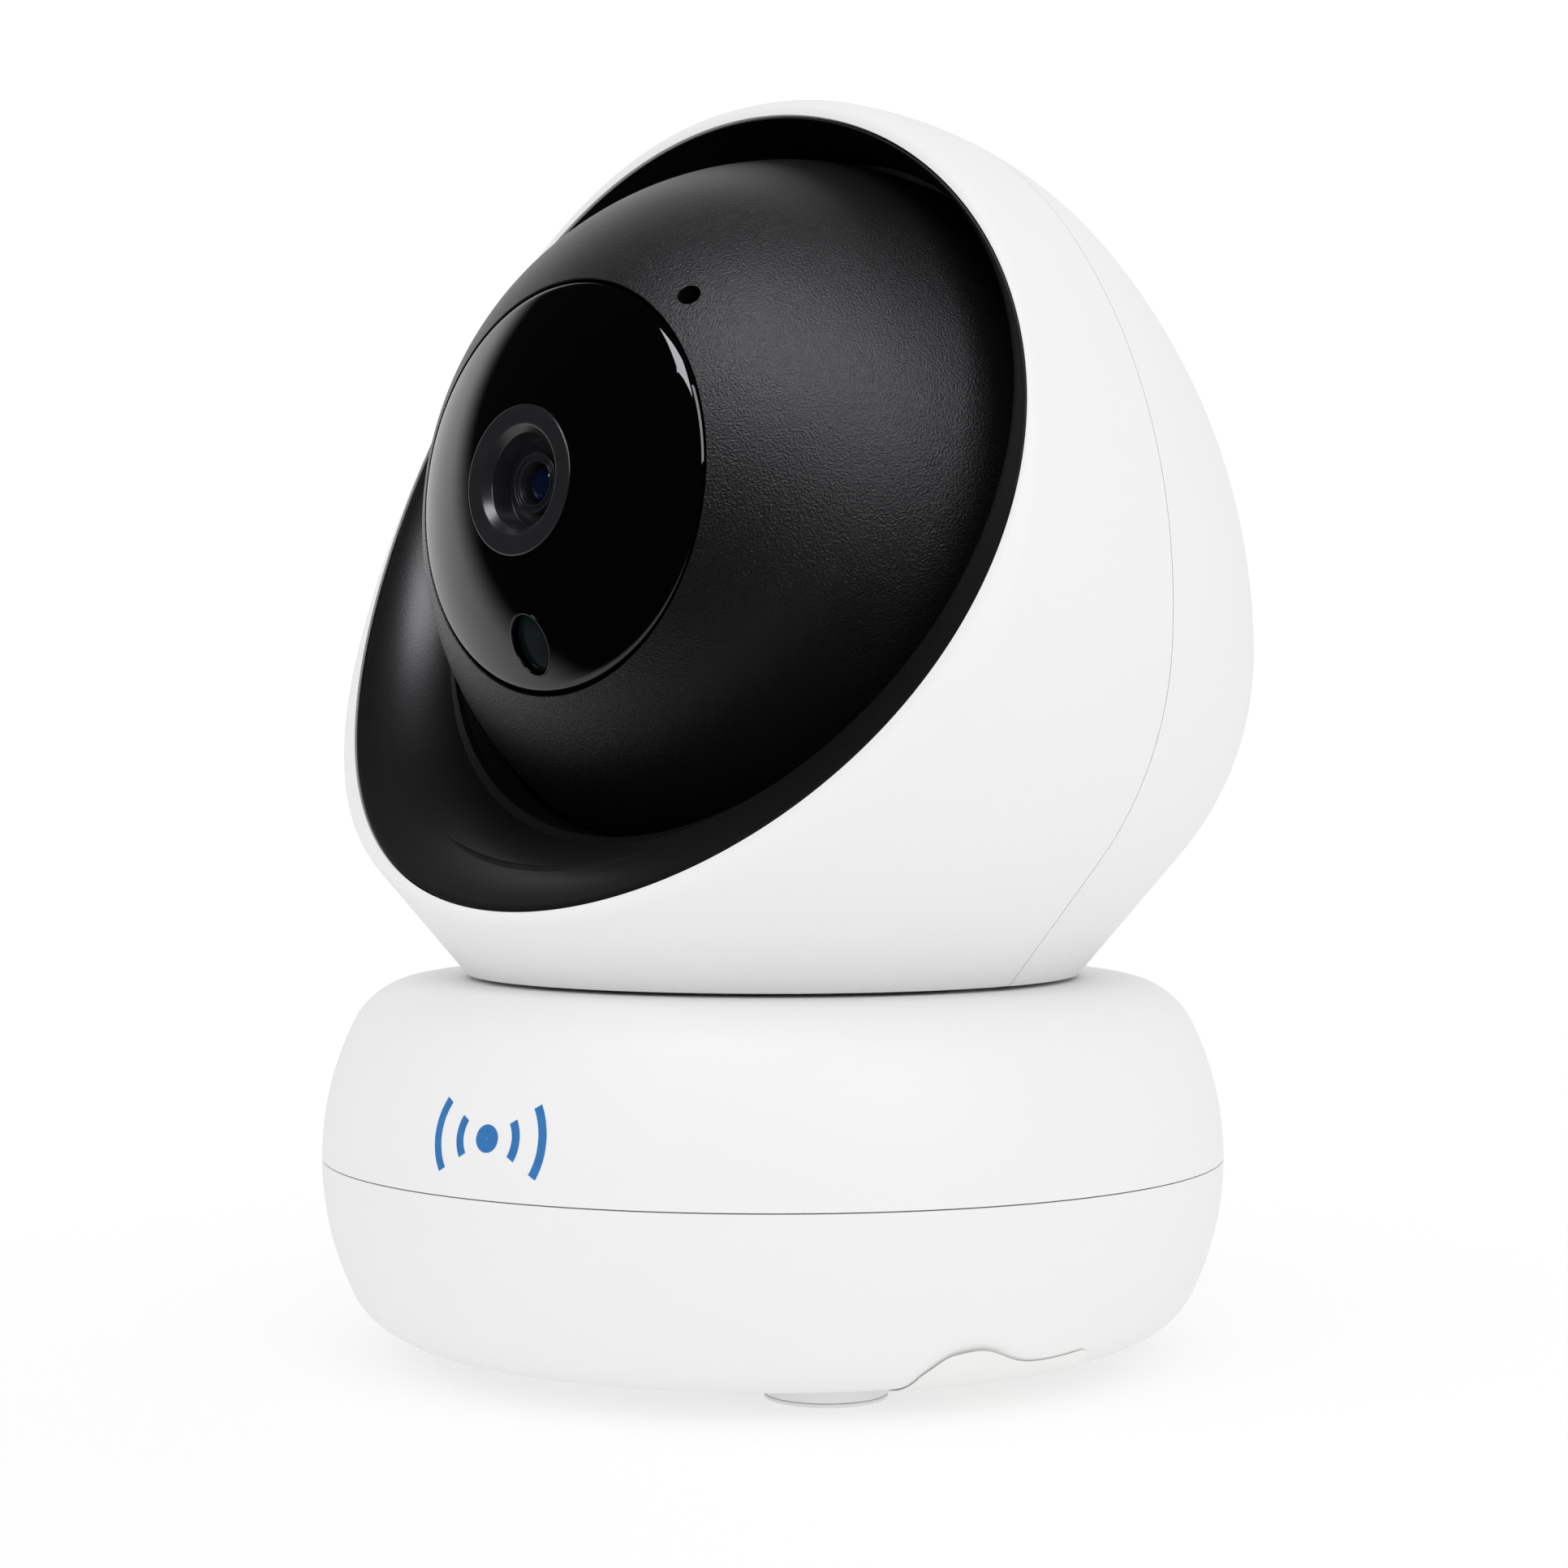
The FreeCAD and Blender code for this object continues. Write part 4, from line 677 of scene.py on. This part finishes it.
# The base's lower half: a flat floor, a corner arc and a side arc up to the seam.
BASE_SIDE_CENTRE, BASE_SIDE_ARC = 15.0, 30.0
BASE_CORNER_CENTRE, BASE_CORNER_ARC = 35.0, 7.827
BASE_SEAM = 19.5
# The lower shell's own studs reach this far below its floor.
STUD_HEIGHT = 1.1
BASE_FLOOR = in_mm(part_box("base_lower_shell")[0]).z + STUD_HEIGHT
FOOT_RADIUS, FOOT_FLARE = 5.75, 0.9
SCREW_HOLE, PAD_THICKNESS, PAD_GROOVE = 1.3, 0.36, 0.4


def make_feet():
    """Round studs that flare into the base, each with a thin pad under it."""
    flare = bow(Vector((FOOT_RADIUS + FOOT_FLARE, BASE_FLOOR + 0.02)),
                Vector((FOOT_RADIUS + 0.1, BASE_FLOOR)),
                Vector((FOOT_RADIUS, BASE_FLOOR - FOOT_FLARE)), 8)
    stud = [tuple(place) for place in flare]
    stud += [(FOOT_RADIUS, PAD_GROOVE + 0.1), (FOOT_RADIUS - 0.12, PAD_GROOVE),
             (SCREW_HOLE, PAD_GROOVE), (SCREW_HOLE, BASE_FLOOR + 0.4),
             (FOOT_RADIUS + FOOT_FLARE, BASE_FLOOR + 0.4)]
    pad = eased([(SCREW_HOLE + 0.1, 0, 0), (FOOT_RADIUS, 0, 0.3),
                 (FOOT_RADIUS, PAD_THICKNESS, 0.1), (SCREW_HOLE + 0.1, PAD_THICKNESS, 0)])
    for number in range(1, 5):
        centre = middle(f"foot_pad_{number}")
        centre.z = 0
        points, faces = turned(stud, centre, Vector((0, 0, 1)), 96)
        make_piece(f"foot_stud_{number}", points, faces, "base", "white_shell", 50)
        points, faces = turned(pad, centre, Vector((0, 0, 1)), 96)
        piece = make_piece(f"foot_{number}", points, faces, "base", "white_pad")
        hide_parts(f"foot_pad_{number}")


def under_base(path, lift):
    """The (radius, height) a path from the middle underneath reaches along the base's skin."""
    corner_height = BASE_FLOOR + BASE_CORNER_ARC
    if path < BASE_CORNER_CENTRE:
        return path, BASE_FLOOR - lift
    side_turn = atan2(BASE_SEAM - corner_height, BASE_CORNER_CENTRE - BASE_SIDE_CENTRE)
    corner_length = BASE_CORNER_ARC * (pi / 2 - side_turn)
    if path < BASE_CORNER_CENTRE + corner_length:
        turn = (path - BASE_CORNER_CENTRE) / BASE_CORNER_ARC
        return (BASE_CORNER_CENTRE + (BASE_CORNER_ARC + lift) * sin(turn),
                corner_height - (BASE_CORNER_ARC + lift) * cos(turn))
    turn = side_turn - (path - BASE_CORNER_CENTRE - corner_length) / BASE_SIDE_ARC
    return (BASE_SIDE_CENTRE + (BASE_SIDE_ARC + lift) * cos(turn),
            BASE_SEAM - (BASE_SIDE_ARC + lift) * sin(turn))


def make_label():
    """The paper label under the base, which runs up its edge with one corner curling off."""
    def sheet(along, place, side):
        passed = min(1.0, max(0.0, (along - LABEL_FOOT_PASSED) / LABEL_FOOT_BEND))
        widened = passed ** 2 * (3 - 2 * passed)
        left = -LABEL_BESIDE_FOOT - (LABEL_HALF_WIDTH - LABEL_BESIDE_FOOT) * widened
        across = left + (LABEL_HALF_WIDTH - left) * place
        share = (along - LABEL_BACK) / (LABEL_FRONT - LABEL_BACK)
        bulge = LABEL_CURL * exp(-((across - LABEL_CURL_PLACE) / LABEL_CURL_WIDTH) ** 2)
        corner = (max(0.0, abs(across) / LABEL_HALF_WIDTH - LABEL_CORNER_SHARE)
                  / (1 - LABEL_CORNER_SHARE))
        front = LABEL_FRONT + bulge - LABEL_CORNER * corner ** 2
        reach = LABEL_BACK + share * (front - LABEL_BACK)
        curl = max(0.0, share - LABEL_CURL_SHARE) / (1 - LABEL_CURL_SHARE)
        lift = LABEL_LIFT + bulge * LABEL_CURL_LIFT * curl ** 2 + side * LABEL_THICKNESS
        turn = LABEL_TURN + atan2(across, reach)
        radius, height = under_base(hypot(reach, across), lift)
        return Vector((radius * cos(turn), radius * sin(turn), height))

    long, wide = 90, 40
    places = [place / wide for place in range(wide + 1)]
    rows = []
    for step in range(long + 1):
        along = LABEL_BACK + (LABEL_FRONT - LABEL_BACK) * (step / long) ** 0.6
        rows.append([sheet(along, place, 0) for place in places]
                    + [sheet(along, place, 1) for place in reversed(places)])
    points, faces = loft(rows, closed_rows=False)
    ring = 2 * wide + 2
    for start in (0, long * ring):
        for place in range(wide):
            faces.append((start + place, start + place + 1,
                          start + ring - 2 - place, start + ring - 1 - place))
    label = make_piece("label", points, faces, "base", "label_paper", 60)
    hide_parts("rating_label")


# The printed sign: its place on the base, its strokes, and how far the ink stands off the skin.
MARK_ANGLE, MARK_HEIGHT, MARK_SPREAD = radians(-80.5), 25.0, radians(31)
MARK_BASE_RADIUS, MARK_HALF_STROKE, MARK_ARCS = 44.3, 0.42, (3.2, 6.0)
MARK_DOT_MIDDLE, MARK_DOT_HALF = 0.65, 0.6
MARK_SUNK, MARK_RAISED, BEYOND_BASE = -0.02, 0.025, 60


def make_mark():
    """A plain printed sign of sound waves: a dot with two arcs on each side."""
    skin = skin_of("base_upper_shell")

    def printed(across, up, lift):
        turn = MARK_ANGLE + across / MARK_BASE_RADIUS
        way = Vector((cos(turn), sin(turn), 0))
        height = MARK_HEIGHT + up
        spot, outwards, *_ = skin.ray_cast(way * BEYOND_BASE + Vector((0, 0, height)), -way)
        return spot + outwards * lift

    def stroke(name, middle_radius, half_width, start, end, steps):
        ring = end - start == 2 * pi
        corners = ((-1, MARK_SUNK), (-1, MARK_RAISED), (1, MARK_RAISED), (1, MARK_SUNK))
        rows = []
        for step in range(steps if ring else steps + 1):
            turn = start + (end - start) * step / steps
            row = []
            for side, lift in corners:
                radius = middle_radius + side * half_width
                row.append(printed(radius * cos(turn), radius * sin(turn), lift))
            rows.append(row)
        points, faces = loft(rows, closed_rows=ring)
        if not ring:
            faces += [(0, 1, 2, 3), tuple(len(points) - 4 + place for place in (3, 2, 1, 0))]
        make_piece(name, points, faces, "base", "mark_ink", 60)

    stroke("mark_dot", MARK_DOT_MIDDLE, MARK_DOT_HALF, 0, 2 * pi, 40)
    for number, radius in enumerate(MARK_ARCS, 1):
        for side, facing in (("right", 0), ("left", pi)):
            stroke(f"mark_{side}_{number}", radius, MARK_HALF_STROKE,
                   facing - MARK_SPREAD, facing + MARK_SPREAD, 28)


# ---------------------------------------------------------------- stage, light and camera

# The camera stands this far from the pan axis and this high, turned and dropped in degrees.
CAMERA_REACH, CAMERA_HEIGHT, CAMERA_TURN, CAMERA_DROP = 317.05, 59.1, 44.5, 0.5
CAMERA_LENS, CAMERA_SHIFT = 72.27, 0.00714
# The room as it is reflected: a bright side and a dim side with a soft border between them.
SWEEP_SIDE, SWEEP_BORDER = (-0.243, 0.805, -0.541), 0.12
SWEEP_DIM, SWEEP_BRIGHT = 0.015, 0.95
# The room as it lights matt surfaces, and as the camera sees it.
SOFT_SIDE, SOFT_LIGHT, SOFT_LEAN = (0.45, -0.30, 0.84), 0.84, 0.32
BACKDROP = 1.05
FLOOR_RADIUS = 9.0
SOFTBOX_TINT = (0.94, 0.95, 1.0)
SOFTBOX_TARGET = Vector((0, 0, 70))


def place_camera():
    """A camera that looks at the pan axis from the front and one side, nearly level."""
    data = bpy.data.cameras.new("camera")
    data.lens = CAMERA_LENS
    data.sensor_width = 36.0
    data.shift_x = CAMERA_SHIFT
    data.clip_start, data.clip_end = 0.01, 20.0
    camera = bpy.data.objects.new("camera", data)
    turn = radians(CAMERA_TURN)
    stand = Vector((CAMERA_REACH * sin(turn), -CAMERA_REACH * cos(turn), CAMERA_HEIGHT))
    camera.location = stand * MM
    camera.rotation_euler = (radians(90 - CAMERA_DROP), 0, turn)
    bpy.context.scene.collection.objects.link(camera)
    bpy.context.scene.camera = camera


def softbox(name, turn, rise, distance, width, height, power):
    """A softbox seen only as a reflection, aimed at the head from an azimuth and an elevation."""
    data = bpy.data.lights.new(name, "AREA")
    data.shape = "RECTANGLE"
    data.size, data.size_y = width * MM, height * MM
    data.energy = power
    data.color = SOFTBOX_TINT
    light = bpy.data.objects.new(name, data)
    turn, rise = radians(turn), radians(rise)
    way = Vector((sin(turn) * cos(rise), -cos(turn) * cos(rise), sin(rise)))
    light.location = (SOFTBOX_TARGET + way * distance) * MM
    light.rotation_euler = way.to_track_quat("Z", "Y").to_euler()
    light.visible_diffuse = False
    bpy.context.scene.collection.objects.link(light)


def make_world():
    """White to the camera; glossy surfaces see a sweep behind and below and a dim room in front."""
    world = bpy.data.worlds.new("studio")
    bpy.context.scene.world = world
    world.use_nodes = True
    tree = world.node_tree
    tree.nodes.clear()
    nodes, links = tree.nodes, tree.links
    path = nodes.new("ShaderNodeLightPath")
    place = nodes.new("ShaderNodeTexCoord")

    def leaning(way, lowest, highest, darkest, brightest, interpolation):
        """A background that brightens towards one side of the room."""
        lean = nodes.new("ShaderNodeVectorMath")
        lean.operation = "DOT_PRODUCT"
        lean.inputs[1].default_value = way
        spread = nodes.new("ShaderNodeMapRange")
        spread.interpolation_type = interpolation
        spread.inputs["From Min"].default_value = lowest
        spread.inputs["From Max"].default_value = highest
        spread.inputs["To Min"].default_value = darkest
        spread.inputs["To Max"].default_value = brightest
        links.new(place.outputs["Generated"], lean.inputs[0])
        links.new(lean.outputs["Value"], spread.inputs["Value"])
        background = nodes.new("ShaderNodeBackground")
        background.inputs["Color"].default_value = (1, 1, 1, 1)
        links.new(spread.outputs["Result"], background.inputs["Strength"])
        return background

    glossy = leaning(SWEEP_SIDE, -SWEEP_BORDER, SWEEP_BORDER, SWEEP_DIM, SWEEP_BRIGHT, "SMOOTHSTEP")
    soft = leaning(SOFT_SIDE, -1, 1, SOFT_LIGHT - SOFT_LEAN, SOFT_LIGHT + SOFT_LEAN, "LINEAR")
    seen = nodes.new("ShaderNodeBackground")
    seen.inputs["Color"].default_value = (1, 1, 1, 1)
    seen.inputs["Strength"].default_value = BACKDROP
    first, second = nodes.new("ShaderNodeMixShader"), nodes.new("ShaderNodeMixShader")
    links.new(path.outputs["Is Glossy Ray"], first.inputs["Fac"])
    links.new(soft.outputs[0], first.inputs[1])
    links.new(glossy.outputs[0], first.inputs[2])
    links.new(path.outputs["Is Camera Ray"], second.inputs["Fac"])
    links.new(first.outputs[0], second.inputs[1])
    links.new(seen.outputs[0], second.inputs[2])
    output = nodes.new("ShaderNodeOutputWorld")
    links.new(second.outputs[0], output.inputs["Surface"])


def make_stage():
    """A wide pale floor that glows a little, so that it melts into the backdrop."""
    bpy.ops.mesh.primitive_circle_add(vertices=96, radius=FLOOR_RADIUS, fill_type="NGON")
    floor = bpy.context.object
    floor.name = "floor"
    finish = Finish("pale_floor", (0.5, 0.5, 0.5, 1), 0.9, specular_ior_level=0.0,
                    emission_color=(1, 1, 1, 1), emission_strength=0.5)
    floor.data.materials.append(finish.material)
    floor.visible_glossy = False


def light_the_stage():
    """The room, the floor and the two softboxes whose reflections shape the black parts."""
    bpy.context.scene.view_settings.view_transform = "Standard"
    make_world()
    make_stage()
    softbox("right_softbox", turn=77, rise=34, distance=900, width=420, height=600, power=4.6)
    softbox("front_softbox", turn=22, rise=55, distance=900, width=420, height=360, power=5.0)


dress_cad_nodes()
make_head_front()
make_dish()
make_eye_front()
make_cover()
make_lens()
make_feet()
make_mark()
make_label()
light_the_stage()
place_camera()
